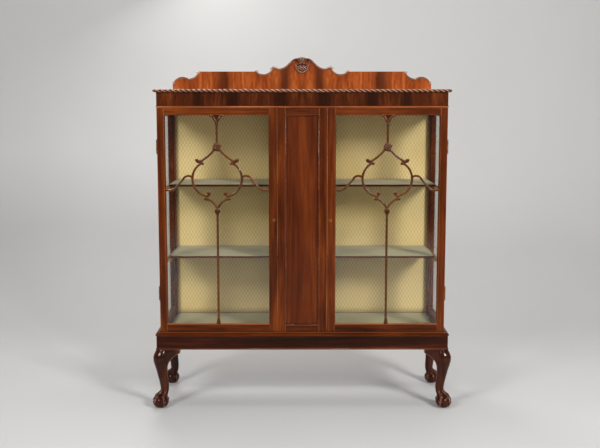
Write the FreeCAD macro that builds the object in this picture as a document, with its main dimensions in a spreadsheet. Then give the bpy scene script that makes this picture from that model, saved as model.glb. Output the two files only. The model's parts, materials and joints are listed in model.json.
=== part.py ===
"""Glazed display cabinet on four cabriole legs, with two hinged doors either side of a fixed centre panel.

The frame has +Z up and the front towards -Y. The origin lies on the floor, under the middle of the cabinet.
Right-hand pieces are modelled first, and the left-hand ones are their mirror images across X = 0.
"""
import FreeCAD, Part
import math
import os
import re
import Sketcher
from FreeCAD import Vector

doc = FreeCAD.newDocument("display_cabinet")

# Driving dimensions in millimetres
SIZES = {
    # Stand
    "stand_width": 1224,
    "stand_depth": 384,
    "leg_height": 253,
    "apron_height": 59,
    "apron_thickness": 22,
    "apron_bead_height": 8,
    "apron_bead_depth": 2.5,
    "leg_post": 40,
    "leg_top_radius": 25,
    "leg_top_inset": 23,
    "knee_radius": 31,
    "knee_height": 213,
    "knee_inset": 14,
    "calf_radius": 22.5,
    "calf_height": 149,
    "calf_inset": 20,
    "ankle_radius": 18,
    "ankle_height": 80,
    "ankle_inset": 28,
    "foot_top_radius": 18,
    "foot_top_height": 46,
    "foot_top_inset": 20,
    "foot_inset": 13,
    "ball_radius": 30.5,
    "ball_height": 27,
    "tendon_top": 70,
    "tendon_radius": 4.6,
    "toe_radius": 6.4,
    "toe_waist": 4.8,
    "talon_tip": 1.6,
    "bracket_reach": 98,
    "bracket_end": 16,
    "bracket_bend_reach": 64,
    "bracket_bend_drop": 38,
    "bracket_heel_reach": 42,
    "bracket_drop": 80,
    "bracket_thickness": 24,
    "bracket_proud": 6,
    "bracket_belly_drop": 34,
    "bracket_roll": 14,
    # Carcase
    "carcase_width": 1192,
    "door_setback": 16,
    "floor_thickness": 13.5,
    "base_moulding_cover": 6,
    "base_moulding_width": 10,
    "post_width": 28,
    "post_depth": 28,
    "side_rail_thickness": 22,
    "side_bottom_rail": 31.5,
    "side_top_rail": 28,
    "side_bead": 8,
    "back_thickness": 8,
    "ceiling_thickness": 13,
    "frieze_height": 61.5,
    "frieze_thickness": 22,
    "frieze_bead_height": 6,
    "frieze_bead_depth": 2.5,
    "top_thickness": 13,
    "rope_width": 14,
    "rope_pitch": 25,
    "rope_groove": 2.2,
    "rope_mouth": 9,
    "rope_slant": 14,
    # Pediment
    "pediment_thickness": 18,
    "pediment_half": 573,
    "pediment_end": 30,
    "pediment_step": 76,
    "pediment_flat": 81,
    "pediment_flat_outer": 459,
    "pediment_flat_inner": 201,
    "pediment_crest": 143.5,
    # Points along the top of the pediment, from the middle and up from the top surface
    "scroll_dip_x": 475,
    "scroll_dip_rise": 58,
    "scroll_join_x": 501,
    "scroll_join_rise": 49,
    "scroll_crown_x": 537,
    "scroll_crown_rise": 57,
    "scroll_tip_x": 569,
    "scroll_tip_rise": 34,
    "crest_dip_x": 171,
    "crest_dip_rise": 69,
    "crest_shoulder_x": 131,
    "crest_shoulder_rise": 95,
    "crest_bump_x": 117,
    "crest_bump_rise": 97,
    "crest_notch_x": 103,
    "crest_notch_rise": 93,
    "crest_hollow_x": 81,
    "crest_hollow_rise": 99,
    "crest_slope_x": 61,
    "crest_slope_rise": 114.5,
    "crest_crown_x": 28,
    "crest_crown_rise": 135.5,
    "lip_thickness": 5,
    "lip_overhang": 4,
    "shell_half": 28,
    "shell_shoulder_half": 23.5,
    "shell_flank_half": 20,
    "shell_top_gap": 1,
    "shell_shoulder_drop": 6,
    "shell_brow_drop": 17,
    "shell_waist_drop": 28,
    "shell_flank_drop": 48,
    "shell_height": 62,
    "shell_thickness": 9,
    # Fixed centre panel
    "centre_width": 206,
    "centre_stile": 33,
    "centre_top_rail": 28,
    "centre_bottom_rail": 28,
    "centre_panel_thickness": 8,
    "centre_panel_setback": 6,
    "centre_bead": 6,
    "centre_bead_proud": 2,
    # Shelves and linings
    "shelf_width": 1120,
    "shelf_setback": 70.5,
    "shelf_thickness": 9,
    "lower_shelf_height": 312,
    "upper_shelf_height": 616,
    "bearer_width": 22,
    "bearer_height": 12,
    "lining_thickness": 1,
    "lining_clearance": 1,
    # Doors
    "door_height": 935.5,
    "door_thickness": 22,
    "door_gap": 1,
    "hinge_stile": 28,
    "lock_stile": 31,
    "door_top_rail": 27,
    "door_bottom_rail": 31,
    "rebate_width": 6,
    "rebate_depth": 12,
    "glass_thickness": 3,
    "glass_clearance": 0.5,
    # Hinges
    "hinge_height": 60,
    "hinge_inset": 130,
    "leaf_width": 20,
    "leaf_thickness": 1.5,
    "leaf_gap": 0.4,
    "barrel_radius": 3.4,
    "barrel_clearance": 0.4,
    "pin_radius": 1.6,
    "pin_clearance": 0.05,
    "knuckle_gap": 0.3,
    # Locks
    "lock_height": 472.5,
    "lock_case_width": 21,
    "lock_case_height": 44,
    "lock_case_depth": 10,
    "lock_case_recess": 3,
    "lock_case_inset": 3,
    "bolt_height": 10,
    "bolt_thickness": 4,
    "bolt_gap": 0.6,
    "bolt_length": 17.5,
    "bolt_setback": 0.5,
    "bolt_clearance": 0.4,
    "keyhole_inset": 13.5,
    "keyhole_radius": 2.2,
    "keyhole_slot_width": 2,
    "keyhole_slot_height": 8,
    "escutcheon_radius": 6,
    "escutcheon_thickness": 1,
    # Door tracery, measured from the middle of the glass
    "bar_width": 9.5,
    "bar_crown": 5,
    "bar_depth": 7,
    "boss_depth": 8.5,
    "scroll_radius": 8,
    "rosette_below_top": 134,
    "rosette_radius": 18,
    "ogee_start_half": 8,
    "ogee_start_drop": 6,
    "ogee_bend_half": 37,
    "ogee_bend_drop": 37,
    "ogee_half": 63,
    "ogee_drop": 55,
    "tail_bend_half": 73,
    "tail_bend_drop": 57.5,
    "tail_half": 82,
    "lobe_start_drop": 65,
    "lobe_half": 102,
    "lobe_drop": 123,
    "lobe_end_half": 49,
    "lobe_end_drop": 202,
    "curl_bend_half": 38,
    "curl_bend_drop": 201,
    "curl_half": 34,
    "curl_drop": 191,
    "cusp_half": 46,
    "cusp_drop": 213,
    "cusp_bend_half": 17.5,
    "cusp_bend_drop": 230,
    "cusp_end_drop": 257,
    "drop_boss": 265,
    "boss_radius": 12,
    "arm_start_half": 101,
    "arm_start_drop": 126,
    "arm_crown_half": 116,
    "arm_crown_drop": 118,
    "arm_slope_half": 142,
    "arm_slope_drop": 134,
    "arm_turn_half": 168,
    "arm_turn_drop": 163,
    "arm_sag_half": 194,
    "arm_sag_drop": 178,
    "arm_end_drop": 174,
    "leaf_half": 27,
    "leaf_bend_half": 8,
    "leaf_bend_drop": 20,
    "leaf_drop": 48,
    "bar_foot_height": 28,
    "bar_foot_half": 9,
}

# Places worked out from the driving dimensions
PLACES = {
    "half_stand": "stand_width / 2",
    "apron_face": "stand_depth / 2",
    "half_carcase": "carcase_width / 2",
    "door_face": "apron_face - door_setback",
    "door_back": "door_face - door_thickness",
    "post_face": "door_back - door_gap",
    "back_face": "apron_face - back_thickness",
    "lining_face": "back_face - lining_thickness",
    "apron_top": "leg_height + apron_height",
    "floor_top": "apron_top + floor_thickness",
    "door_bottom": "floor_top + door_gap",
    "door_top": "door_bottom + door_height",
    "ceiling_bottom": "door_top + door_gap",
    "frieze_top": "ceiling_bottom + frieze_height",
    "top_surface": "frieze_top + top_thickness",
    "post_inner": "half_carcase - post_width",
    "rail_inner": "half_carcase - side_rail_thickness",
    "rear_post_face": "back_face - post_depth",
    "side_glass_bottom": "floor_top + side_bottom_rail",
    "side_glass_top": "ceiling_bottom - side_top_rail",
    "side_glass_inner": "half_carcase - (side_rail_thickness + glass_thickness) / 2",
    "half_centre": "centre_width / 2",
    "door_inner": "half_centre + door_gap",
    "glass_left": "door_inner + lock_stile",
    "glass_right": "half_carcase - hinge_stile",
    "glass_bottom": "door_bottom + door_bottom_rail",
    "glass_top": "door_top - door_top_rail",
    "rebate_face": "door_back + rebate_depth",
    "glass_back": "rebate_face - glass_thickness",
    "hinge_x": "half_carcase + barrel_clearance + barrel_radius",
    "hinge_y": "door_back - door_gap / 2",
    "lock_z": "door_bottom + lock_height",
    "lock_case_x": "door_inner + lock_case_inset",
    "lock_case_face": "door_back + lock_case_recess",
    "lock_case_back": "lock_case_face - lock_case_depth",
    "bolt_y": "door_back - bolt_gap - bolt_thickness",
    "bolt_x": "door_inner + bolt_setback",
    "keyhole_x": "door_inner + keyhole_inset",
    "tracery_x": "(glass_left + glass_right) / 2",
    "rosette_z": "glass_top - rosette_below_top",
}


def bound(expression):
    """The expression with each size and place named by its sheet."""

    def named(match):
        word = match.group(0)
        if word in SIZES:
            return "Size." + word
        if word in PLACES:
            return "Place." + word
        return word

    return re.sub(r"[a-z_]+", named, expression)


def fill_sheet(name, cells):
    sheet = doc.addObject("Spreadsheet::Sheet", name)
    for row, (alias, content) in enumerate(cells.items(), 1):
        cell = "A" + str(row)
        sheet.set(cell, content)
        sheet.setAlias(cell, alias)
    doc.recompute()
    return sheet


size_sheet = fill_sheet("Size", {alias: str(number) for alias, number in SIZES.items()})
place_sheet = doc.addObject("Spreadsheet::Sheet", "Place")
for row, alias in enumerate(PLACES, 1):
    place_sheet.setAlias("A" + str(row), alias)
for row, formula in enumerate(PLACES.values(), 1):
    place_sheet.set("A" + str(row), "=" + bound(formula))
doc.recompute()


def value(expression):
    """The number that an expression in sizes and places gives."""
    return float(size_sheet.evalExpression(bound(expression)))


def place(x, y, z):
    return Vector(value(x), value(y), value(z))


# Small makers shared by the pieces
nodes = {}


def node(name, pieces):
    """One named sub-part: a single object, or a compound of separate solids."""
    if len(pieces) == 1:
        whole = pieces[0]
    else:
        whole = doc.addObject("Part::Compound", name)
        whole.Links = pieces
    whole.Label = name
    nodes[name] = whole
    return whole


def board(x, y, z):
    """A box between the low and high expressions of each axis."""
    piece = doc.addObject("Part::Box", "board")
    for length, axis, (low, high) in (("Length", "x", x), ("Width", "y", y), ("Height", "z", z)):
        piece.setExpression(length, bound("(" + high + ") - (" + low + ")"))
        piece.setExpression("Placement.Base." + axis, bound(low))
    return piece


def rod(x, y, z, radius, height):
    """An upright cylinder."""
    piece = doc.addObject("Part::Cylinder", "rod")
    piece.setExpression("Radius", bound(radius))
    piece.setExpression("Height", bound(height))
    for axis, expression in (("x", x), ("y", y), ("z", z)):
        piece.setExpression("Placement.Base." + axis, bound(expression))
    return piece


def cross_rod(x, y, z, radius, depth):
    """A cylinder that starts at y and runs backwards along +Y."""
    piece = rod(x, y, z, radius, depth)
    piece.Placement.Rotation = FreeCAD.Rotation(Vector(1, 0, 0), -90)
    return piece


def cut(base, tools):
    piece = doc.addObject("Part::Cut", "cut")
    piece.Base = base
    piece.Tool = tools[0] if len(tools) == 1 else fuse(tools)
    return piece


def fuse(pieces):
    piece = doc.addObject("Part::MultiFuse", "fused")
    piece.Shapes = pieces
    return piece


ACROSS = Vector(1, 0, 0)
ALONG = Vector(0, 1, 0)


def mirrored(piece, normal=ACROSS):
    image = doc.addObject("Part::Mirroring", "mirrored")
    image.Source = piece
    image.Normal = normal
    return image


def both_sides(pieces):
    return pieces + [mirrored(piece) for piece in pieces]


def shaped(name, shape, at=Vector()):
    """A piece whose form is a loft, a sweep or a mitred run."""
    piece = doc.addObject("Part::Feature", name)
    piece.Shape = shape
    piece.Placement.Base = at
    return piece


def profiled_body(name, outline, depth, offset):
    """A body padded forwards from a closed outline of lines and arcs in an upright plane.

    Each corner is (x, y) or (x, y, middle), where middle is a point on the arc that leads to that corner.
    """
    body = doc.addObject("PartDesign::Body", name)
    sketch = body.newObject("Sketcher::SketchObject", name + "_outline")
    plane = [feature for feature in body.Origin.OriginFeatures if feature.Role == "XZ_Plane"][0]
    sketch.AttachmentSupport = [(plane, "")]
    sketch.MapMode = "FlatFace"
    sketch.setExpression("AttachmentOffset.Base.z", bound(offset))
    corners = [(value(corner[0]), value(corner[1])) for corner in outline]
    for index, corner in enumerate(outline):
        start = Vector(*corners[index - 1], 0)
        end = Vector(*corners[index], 0)
        if len(corner) == 2:
            edge = Part.LineSegment(start, end)
        else:
            edge = Part.Arc(start, Vector(value(corner[2][0]), value(corner[2][1]), 0), end)
        sketch.addGeometry(edge)
    rules = []
    bindings = {}
    for index, corner in enumerate(outline):
        following = (index + 1) % len(outline)
        end = end_at(sketch, index, corners[index])
        start = 3 - end_at(sketch, following, corners[following])
        rules.append(Sketcher.Constraint("Coincident", index, end, following, start))
        for kind, expression in (("DistanceX", corner[0]), ("DistanceY", corner[1])):
            bindings[len(rules)] = expression
            rules.append(Sketcher.Constraint(kind, index, end, value(expression)))
    sketch.addConstraint(rules)
    for number, expression in bindings.items():
        sketch.setExpression("Constraints[" + str(number) + "]", bound(expression))
    pad = body.newObject("PartDesign::Pad", name + "_pad")
    pad.Profile = sketch
    pad.setExpression("Length", bound(depth))
    body.Tip = pad
    return body


def end_at(sketch, index, corner):
    """1 or 2: which end of an edge lies at the corner, because an arc may run either way round."""
    first, last = (sketch.getPoint(index, end) for end in (1, 2))
    there = Vector(*corner, 0)
    return 1 if first.distanceToPoint(there) < last.distanceToPoint(there) else 2


# Edges of outlines
def line(start, end):
    return Part.LineSegment(start, end).toShape()


def arc(start, middle, end):
    return Part.Arc(start, middle, end).toShape()


def polyline(corners):
    return [line(start, end) for start, end in zip(corners, corners[1:])]


def flat_face(corners):
    return Part.Face(Part.makePolygon(corners + corners[:1]))


# Mitred runs round the front and the two sides
# Cutting solids reach this far past what they cut
MARGIN = 1


def run_profile(corners):
    """A face across a run: each corner is (outwards, up), or (outwards, up, middle) for an arc."""
    edges = []
    for index, corner in enumerate(corners):
        start = Vector(0, -corners[index - 1][0], corners[index - 1][1])
        end = Vector(0, -corner[0], corner[1])
        if len(corner) == 2:
            edges.append(line(start, end))
        else:
            edges.append(arc(start, Vector(0, -corner[2][0], corner[2][1]), end))
    return Part.Face(Part.Wire(edges))


def wedge(corners, low, high):
    """An upright prism with the given plan."""
    return flat_face([Vector(x, y, low) for x, y in corners]).extrude(Vector(0, 0, high - low))


def mitred_run(corners, half, front, back):
    """Front, right and left lengths of one moulding, mitred at the front corners."""
    face = run_profile(corners)
    arc_middles = [corner[2] for corner in corners if len(corner) == 3]
    reach = max(spot[0] for spot in corners + arc_middles)
    low = min(corner[1] for corner in corners)
    high = max(corner[1] for corner in corners)
    spread = half + reach
    depth = reach + front + back
    long_front = face.copy()
    long_front.translate(Vector(-spread, -front, 0))
    long_front = long_front.extrude(Vector(2 * spread, 0, 0))
    inner = min(corner[0] for corner in corners) - MARGIN
    mitre = wedge([(-spread, -front - reach), (spread, -front - reach), (half + inner, -front - inner),
                   (-half - inner, -front - inner)], low - MARGIN, high + MARGIN)
    long_side = face.copy()
    long_side.rotate(Vector(), Vector(0, 0, 1), 90)
    long_side.translate(Vector(half, back, 0))
    long_side = long_side.extrude(Vector(0, -depth, 0))
    side_mitre = wedge([(spread, -front - reach), (spread, back), (half + inner, back),
                        (half + inner, -front - inner)], low - MARGIN, high + MARGIN)
    right = long_side.common(side_mitre)
    left = right.mirror(Vector(), Vector(1, 0, 0))
    return [long_front.common(mitre).Solids[0], right.Solids[0], left.Solids[0]]


def flat_profile(thickness, low, high):
    """A plain board that stands on edge behind the line of the run."""
    back = -value(thickness)
    return [(back, value(low)), (0, value(low)), (0, value(high)), (back, value(high))]


def nosed_profile(depth, low, high):
    """A strip with a half-round nose."""
    radius = (high - low) / 2
    flat = max(depth - radius, 0.0)
    tip = (depth, (low + high) / 2)
    if flat > 0:
        return [(0, low), (flat, low), (flat, high, tip), (0, high)]
    return [(0, low), (0, high, tip)]


# Four cabriole legs on ball feet
LEG_STATIONS = (
    ("leg_top_radius", "leg_top_inset", "leg_height"),
    ("knee_radius", "knee_inset", "knee_height"),
    ("calf_radius", "calf_inset", "calf_height"),
    ("ankle_radius", "ankle_inset", "ankle_height"),
    ("foot_top_radius", "foot_top_inset", "foot_top_height"),
)
LEG_RINGS = 11
LEG_SIDES = 16
BALL_BANDS = 8
CLAW_SIDES = 7
# Degrees down the ball from its top to the joints of a claw, and round it from the outward diagonal
CLAW_JOINTS = (46, 84, 130)
CLAW_BEARINGS = (0, 75, -75, 180)
OUTWARD = -45


def ring(centre, axis, radius, sides):
    """The corners of a regular polygon across an axis: one section of a carved form."""
    circle = Part.Circle(centre, axis, radius)
    return [circle.value(2 * math.pi * side / sides) for side in range(sides)]


def flat_sided(rings):
    """A solid lofted with flat sides through rings, whose edges run parallel from one ring to the next."""
    faces = [flat_face(rings[0]), flat_face(rings[-1])]
    for lower, upper in zip(rings, rings[1:]):
        for side in range(len(lower)):
            faces.append(flat_face([lower[side - 1], lower[side], upper[side], upper[side - 1]]))
    solid = Part.Solid(Part.Shell(faces))
    if solid.Volume < 0:
        solid.reverse()
    return solid


def leg_shaft(corner):
    """The cabriole shaft: rings on a smooth curve through the knee, calf and ankle."""
    course = Part.BSplineCurve()
    course.interpolate([Vector(*(value(size) for size in station)) for station in LEG_STATIONS])
    rings = []
    for radius, inset, height in course.discretize(Number=LEG_RINGS):
        rings.append(ring(corner + Vector(-inset, inset, height), Vector(0, 0, 1), radius, LEG_SIDES))
    return flat_sided(rings)


def leg_ball(centre):
    """The ball, in level bands between its top and its bottom."""
    rings = []
    for band in range(1, BALL_BANDS):
        angle = math.pi * band / BALL_BANDS
        level = centre + Vector(0, 0, value("ball_radius") * math.cos(angle))
        rings.append(ring(level, Vector(0, 0, 1), value("ball_radius") * math.sin(angle), LEG_SIDES))
    return flat_sided(rings)


def claw(ankle, centre, bearing):
    """One claw: a tendon from the ankle, a toe over the ball and a talon, which meet at swollen knuckles."""
    outwards = Vector(math.cos(bearing), math.sin(bearing), 0)
    joints = [ankle + outwards * value("ankle_radius - tendon_radius")]
    for degrees in CLAW_JOINTS:
        angle = math.radians(degrees)
        aim = outwards * math.sin(angle) + Vector(0, 0, math.cos(angle))
        joints.append(centre + aim * value("ball_radius"))
    ends = (("tendon_radius", "toe_radius"), ("toe_radius", "toe_waist"), ("toe_radius", "talon_tip"))
    bones = []
    for start, end, radii in zip(joints, joints[1:], ends):
        bones.append(flat_sided([ring(spot, end - start, value(radius), CLAW_SIDES)
                                 for spot, radius in zip((start, end), radii)]))
    return bones


def leg_shape():
    """The front right leg with its post, ball and four claws."""
    corner = Vector(value("half_stand"), -value("apron_face"), 0)
    foot = corner + Vector(-value("foot_inset"), value("foot_inset"), value("ball_height"))
    ankle = corner + Vector(-value("ankle_inset"), value("ankle_inset"), value("tendon_top"))
    parts = [leg_ball(foot)]
    for turn in CLAW_BEARINGS:
        parts += claw(ankle, foot, math.radians(OUTWARD + turn))
    post = value("leg_post")
    apron = value("apron_thickness")
    parts.append(Part.makeBox(post, post, value("apron_height"),
                              corner + Vector(-apron - post, apron, value("leg_height"))))
    whole = leg_shaft(corner).fuse(parts)
    spread = 2 * value("ball_radius")
    floor = foot - Vector(0, 0, value("ball_height"))
    under = Part.makeBox(2 * spread, 2 * spread, spread, floor - Vector(spread, spread, spread))
    return whole.cut(under).removeSplitter()


front_right_leg = shaped("front_right_leg", leg_shape())
front_left_leg = mirrored(front_right_leg)
rear_right_leg = mirrored(front_right_leg, ALONG)
rear_left_leg = mirrored(rear_right_leg)
node("front_right_leg", [front_right_leg])
node("front_left_leg", [front_left_leg])
node("rear_right_leg", [rear_right_leg])
node("rear_left_leg", [rear_left_leg])


# Knee brackets that ease each leg into the apron
def bracket_shape(leg):
    """A bracket under the front apron and one under the side apron, fitted round the front right leg.

    Its front outline, its plan and its rolled face are three prisms, and the bracket is what they share.
    """
    half = value("half_stand")
    front = value("apron_face")
    top = value("leg_height")
    bottom = top - value("bracket_drop")
    tip = half - value("bracket_reach")
    root = half - value("calf_inset")
    back = -front + value("bracket_thickness")
    proud = -front - value("bracket_proud")
    tip_low = Vector(tip, 0, top - value("bracket_end"))
    bend = Vector(half - value("bracket_bend_reach"), 0, top - value("bracket_bend_drop"))
    heel = Vector(half - value("bracket_heel_reach"), 0, bottom)
    outline = [arc(tip_low, bend, heel)]
    outline += polyline([heel, Vector(root, 0, bottom), Vector(root, 0, top), Vector(tip, 0, top), tip_low])
    slab = Part.Face(Part.Wire(outline)).extrude(Vector(0, back - proud, 0))
    slab.translate(Vector(0, proud, 0))
    plan = wedge([(root, proud), (root, back), (tip, back), (tip, -front)], bottom, top)
    brow = Vector(tip, -front, top)
    belly = Vector(tip, proud, top - value("bracket_belly_drop"))
    chin = Vector(tip, -front + value("bracket_roll"), bottom)
    rolled = [arc(brow, belly, chin)]
    rolled += polyline([chin, Vector(tip, back, bottom), Vector(tip, back, top), brow])
    face = Part.Face(Part.Wire(rolled)).extrude(Vector(root - tip, 0, 0))
    under_front = slab.common([plan]).common([face])
    under_side = under_front.mirror(Vector(half, -front, 0), Vector(1, 1, 0))
    pair = []
    for piece in (under_front, under_side):
        pair.append(max(piece.cut(leg).Solids, key=lambda solid: solid.Volume))
    return pair


right_brackets = [shaped("bracket", shape) for shape in bracket_shape(front_right_leg.Shape)]
front_brackets = both_sides(right_brackets)
rear_brackets = [mirrored(bracket, ALONG) for bracket in front_brackets]
node("knee_brackets", front_brackets + rear_brackets)

# Aprons, their bead and the floor board with its moulding
front_apron, right_apron, left_apron = mitred_run(
    flat_profile("apron_thickness", "leg_height", "apron_top"),
    value("half_stand"), value("apron_face"), value("apron_face - apron_thickness"))
node("front_apron", [shaped("front_apron", front_apron)])
node("side_aprons", [shaped("right_apron", right_apron), shaped("left_apron", left_apron)])
node("rear_apron", [board(("-half_stand", "half_stand"), ("apron_face - apron_thickness", "apron_face"),
                          ("leg_height", "apron_top"))])
bead = nosed_profile(value("apron_bead_depth"), value("leg_height"), value("leg_height + apron_bead_height"))
node("apron_bead", [shaped("apron_bead", shape) for shape in mitred_run(
    bead, value("half_stand"), value("apron_face"), value("apron_face"))])
node("floor_board", [board(("-half_stand + base_moulding_cover", "half_stand - base_moulding_cover"),
                           ("-apron_face + base_moulding_cover", "apron_face"), ("apron_top", "floor_top"))])
base = nosed_profile(value("base_moulding_width"), value("apron_top"), value("floor_top"))
node("base_moulding", [shaped("base_moulding", shape) for shape in mitred_run(
    base, value("half_stand - base_moulding_cover"), value("apron_face - base_moulding_cover"),
    value("apron_face"))])

# Posts, side frames and side glass
hinge_levels = ("door_bottom + hinge_inset", "door_top - hinge_inset - hinge_height")
leaf_inner = "half_carcase - leaf_width"
carcase_leaf_back = "hinge_y - leaf_gap / 2 - leaf_thickness"
door_leaf_front = "hinge_y + leaf_gap / 2 + leaf_thickness"
post = board(("post_inner", "half_carcase"), ("-post_face", "-post_face + post_depth"),
             ("floor_top", "ceiling_bottom"))
post_mortises = [board((leaf_inner, "half_carcase"), ("-post_face", "-(" + carcase_leaf_back + ")"),
                       (level, level + " + hinge_height")) for level in hinge_levels]
node("front_posts", both_sides([cut(post, post_mortises)]))
node("rear_posts", both_sides([board(("post_inner", "half_carcase"), ("rear_post_face", "back_face"),
                                     ("floor_top", "ceiling_bottom"))]))
between_posts = ("-post_face + post_depth", "rear_post_face")
node("side_rails", both_sides([
    board(("rail_inner", "half_carcase"), between_posts, ("floor_top", "side_glass_bottom")),
    board(("rail_inner", "half_carcase"), between_posts, ("side_glass_top", "ceiling_bottom"))]))
side_glass = board(("side_glass_inner", "side_glass_inner + glass_thickness"), between_posts,
                   ("side_glass_bottom", "side_glass_top"))
node("right_side_glass", [side_glass])
node("left_side_glass", [mirrored(side_glass)])
bead_across = ("side_glass_inner - side_bead", "side_glass_inner")
bead_rise = ("side_glass_bottom", "side_glass_top")
node("side_glazing_beads", both_sides([
    board(bead_across, ("-post_face + post_depth", "-post_face + post_depth + side_bead"), bead_rise),
    board(bead_across, ("rear_post_face - side_bead", "rear_post_face"), bead_rise),
    board(bead_across, ("-post_face + post_depth + side_bead", "rear_post_face - side_bead"),
          ("side_glass_bottom", "side_glass_bottom + side_bead")),
    board(bead_across, ("-post_face + post_depth + side_bead", "rear_post_face - side_bead"),
          ("side_glass_top - side_bead", "side_glass_top"))]))

# Back, ceiling, frieze and top
node("back_panel", [board(("-half_carcase", "half_carcase"), ("back_face", "apron_face"),
                          ("floor_top", "ceiling_bottom"))])
node("ceiling_board", [board(("-half_carcase + frieze_thickness", "half_carcase - frieze_thickness"),
                             ("-door_face + frieze_thickness", "apron_face"),
                             ("ceiling_bottom", "ceiling_bottom + ceiling_thickness"))])
front_frieze, right_frieze, left_frieze = mitred_run(
    flat_profile("frieze_thickness", "ceiling_bottom", "frieze_top"),
    value("half_carcase"), value("door_face"), value("apron_face"))
node("front_frieze", [shaped("front_frieze", front_frieze)])
node("side_friezes", [shaped("right_frieze", right_frieze), shaped("left_frieze", left_frieze)])
node("rear_frieze", [board(("-half_carcase + frieze_thickness", "half_carcase - frieze_thickness"),
                           ("apron_face - frieze_thickness", "apron_face"),
                           ("ceiling_bottom + ceiling_thickness", "frieze_top"))])
bead = nosed_profile(value("frieze_bead_depth"), value("ceiling_bottom"),
                     value("ceiling_bottom + frieze_bead_height"))
node("frieze_bead", [shaped("frieze_bead", shape) for shape in mitred_run(
    bead, value("half_carcase"), value("door_face"), value("apron_face"))])
node("top_board", [board(("-half_carcase", "half_carcase"), ("-door_face", "apron_face"),
                         ("frieze_top", "top_surface"))])


# Rope moulding: a rounded strip with slanting grooves
NOSE_FLATS = 5


def faceted_profile(depth, low, high):
    """A strip whose nose is rounded in a few flats, so that the grooves cut it cleanly."""
    radius = (high - low) / 2
    nose = []
    for flat in range(NOSE_FLATS + 1):
        angle = math.pi * flat / NOSE_FLATS - math.pi / 2
        nose.append((depth - radius + radius * math.cos(angle), low + radius + radius * math.sin(angle)))
    return [(0, low)] + nose + [(0, high)]


def grooves(start, end, tip):
    """Slanting blades along X from start to end, each cutting into a nose with its tip that far along -Y."""
    pitch = value("rope_pitch")
    depth = value("rope_groove")
    half_mouth = value("rope_mouth / 2")
    rise = Vector(value("rope_slant"), 0, value("top_thickness"))
    count = int((end - start) / pitch)
    first = (start + end - (count - 1) * pitch - rise.x) / 2
    blades = []
    for index in range(count):
        foot = Vector(first + index * pitch, -tip, value("frieze_top"))
        corners = [foot + Vector(-half_mouth, -depth, 0), foot + Vector(half_mouth, -depth, 0),
                   foot + Vector(0, depth, 0)]
        blades.append(flat_face(corners).extrude(rise))
    return blades


def roped_strips():
    """The three lengths of the rope moulding, with the grooves leaning the same way round the corners."""
    half = value("half_carcase")
    tip = value("rope_width")
    front, right, left = mitred_run(faceted_profile(tip, value("frieze_top"), value("top_surface")), half,
                                    value("door_face"), value("apron_face"))
    front = front.cut(grooves(-half, half, value("door_face") + tip))
    blades = []
    for blade in grooves(-value("door_face"), value("apron_face"), half + tip):
        blade.rotate(Vector(), Vector(0, 0, 1), 90)
        blades.append(blade)
    right = right.cut(blades)
    left = left.cut([blade.mirror(Vector(), Vector(1, 0, 0)) for blade in blades])
    return [front, right, left]


node("rope_moulding", [shaped("rope_moulding", shape) for shape in roped_strips()])

# Pediment board with its curved lips and carved shell
def curve_point(across, rise, drop):
    return (across, "top_surface + " + rise + " - " + drop)


def end_curve(drop):
    """The outline over the end scroll, from the flat's step to the outer end, lowered by drop."""
    return [
        curve_point("pediment_flat_outer", "pediment_step", drop),
        (*curve_point("scroll_join_x", "scroll_join_rise", drop),
         curve_point("scroll_dip_x", "scroll_dip_rise", drop)),
        (*curve_point("scroll_tip_x", "scroll_tip_rise", drop),
         curve_point("scroll_crown_x", "scroll_crown_rise", drop)),
    ]


def crest_curve(drop):
    """The outline over the middle, from the inner end of the flat up to the crest, lowered by drop."""
    corners = [curve_point("pediment_flat_inner", "pediment_flat", drop)]
    for corner, middle in (("shoulder", "dip"), ("notch", "bump"), ("slope", "hollow")):
        corners.append((*curve_point("crest_" + corner + "_x", "crest_" + corner + "_rise", drop),
                        curve_point("crest_" + middle + "_x", "crest_" + middle + "_rise", drop)))
    corners.append((*curve_point("0", "pediment_crest", drop),
                    curve_point("crest_crown_x", "crest_crown_rise", drop)))
    return corners


def mirrored_curve(curve):
    """The same run of corners on the other side, in the opposite order."""
    turned = []
    for index in range(len(curve) - 1, -1, -1):
        corner = curve[index]
        middle = curve[index + 1][2] if index + 1 < len(curve) and len(curve[index + 1]) > 2 else None
        flipped = ("-(" + corner[0] + ")", corner[1])
        if middle is not None:
            flipped += (("-(" + middle[0] + ")", middle[1]),)
        turned.append(flipped)
    return turned


def reversed_curve(curve):
    """The same corners the other way round."""
    turned = []
    for index in range(len(curve) - 1, -1, -1):
        corner = curve[index]
        middle = curve[index + 1][2] if index + 1 < len(curve) and len(curve[index + 1]) > 2 else None
        turned.append((corner[0], corner[1]) + ((middle,) if middle is not None else ()))
    return turned


end_board = end_curve("lip_thickness")
crest_board = crest_curve("lip_thickness")
flat_level = "top_surface + pediment_flat"
flat = [("pediment_flat_outer", flat_level), ("pediment_flat_inner", flat_level)]
right_outline = reversed_curve(end_board) + flat + crest_board
left_outline = mirrored_curve(flat + crest_board)[1:] + mirrored_curve(reversed_curve(end_board))
end_level = "top_surface + pediment_end - lip_thickness"
pediment_outline = [("pediment_half", "top_surface"), ("pediment_half", end_level)]
pediment_outline += right_outline + left_outline
pediment_outline += [("-pediment_half", end_level), ("-pediment_half", "top_surface")]
node("pediment_board", [
    profiled_body("pediment_board", pediment_outline, "pediment_thickness", "-apron_face")])


def lip_outline(curve):
    top = curve("0")
    return top + reversed_curve(curve("lip_thickness"))


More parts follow.
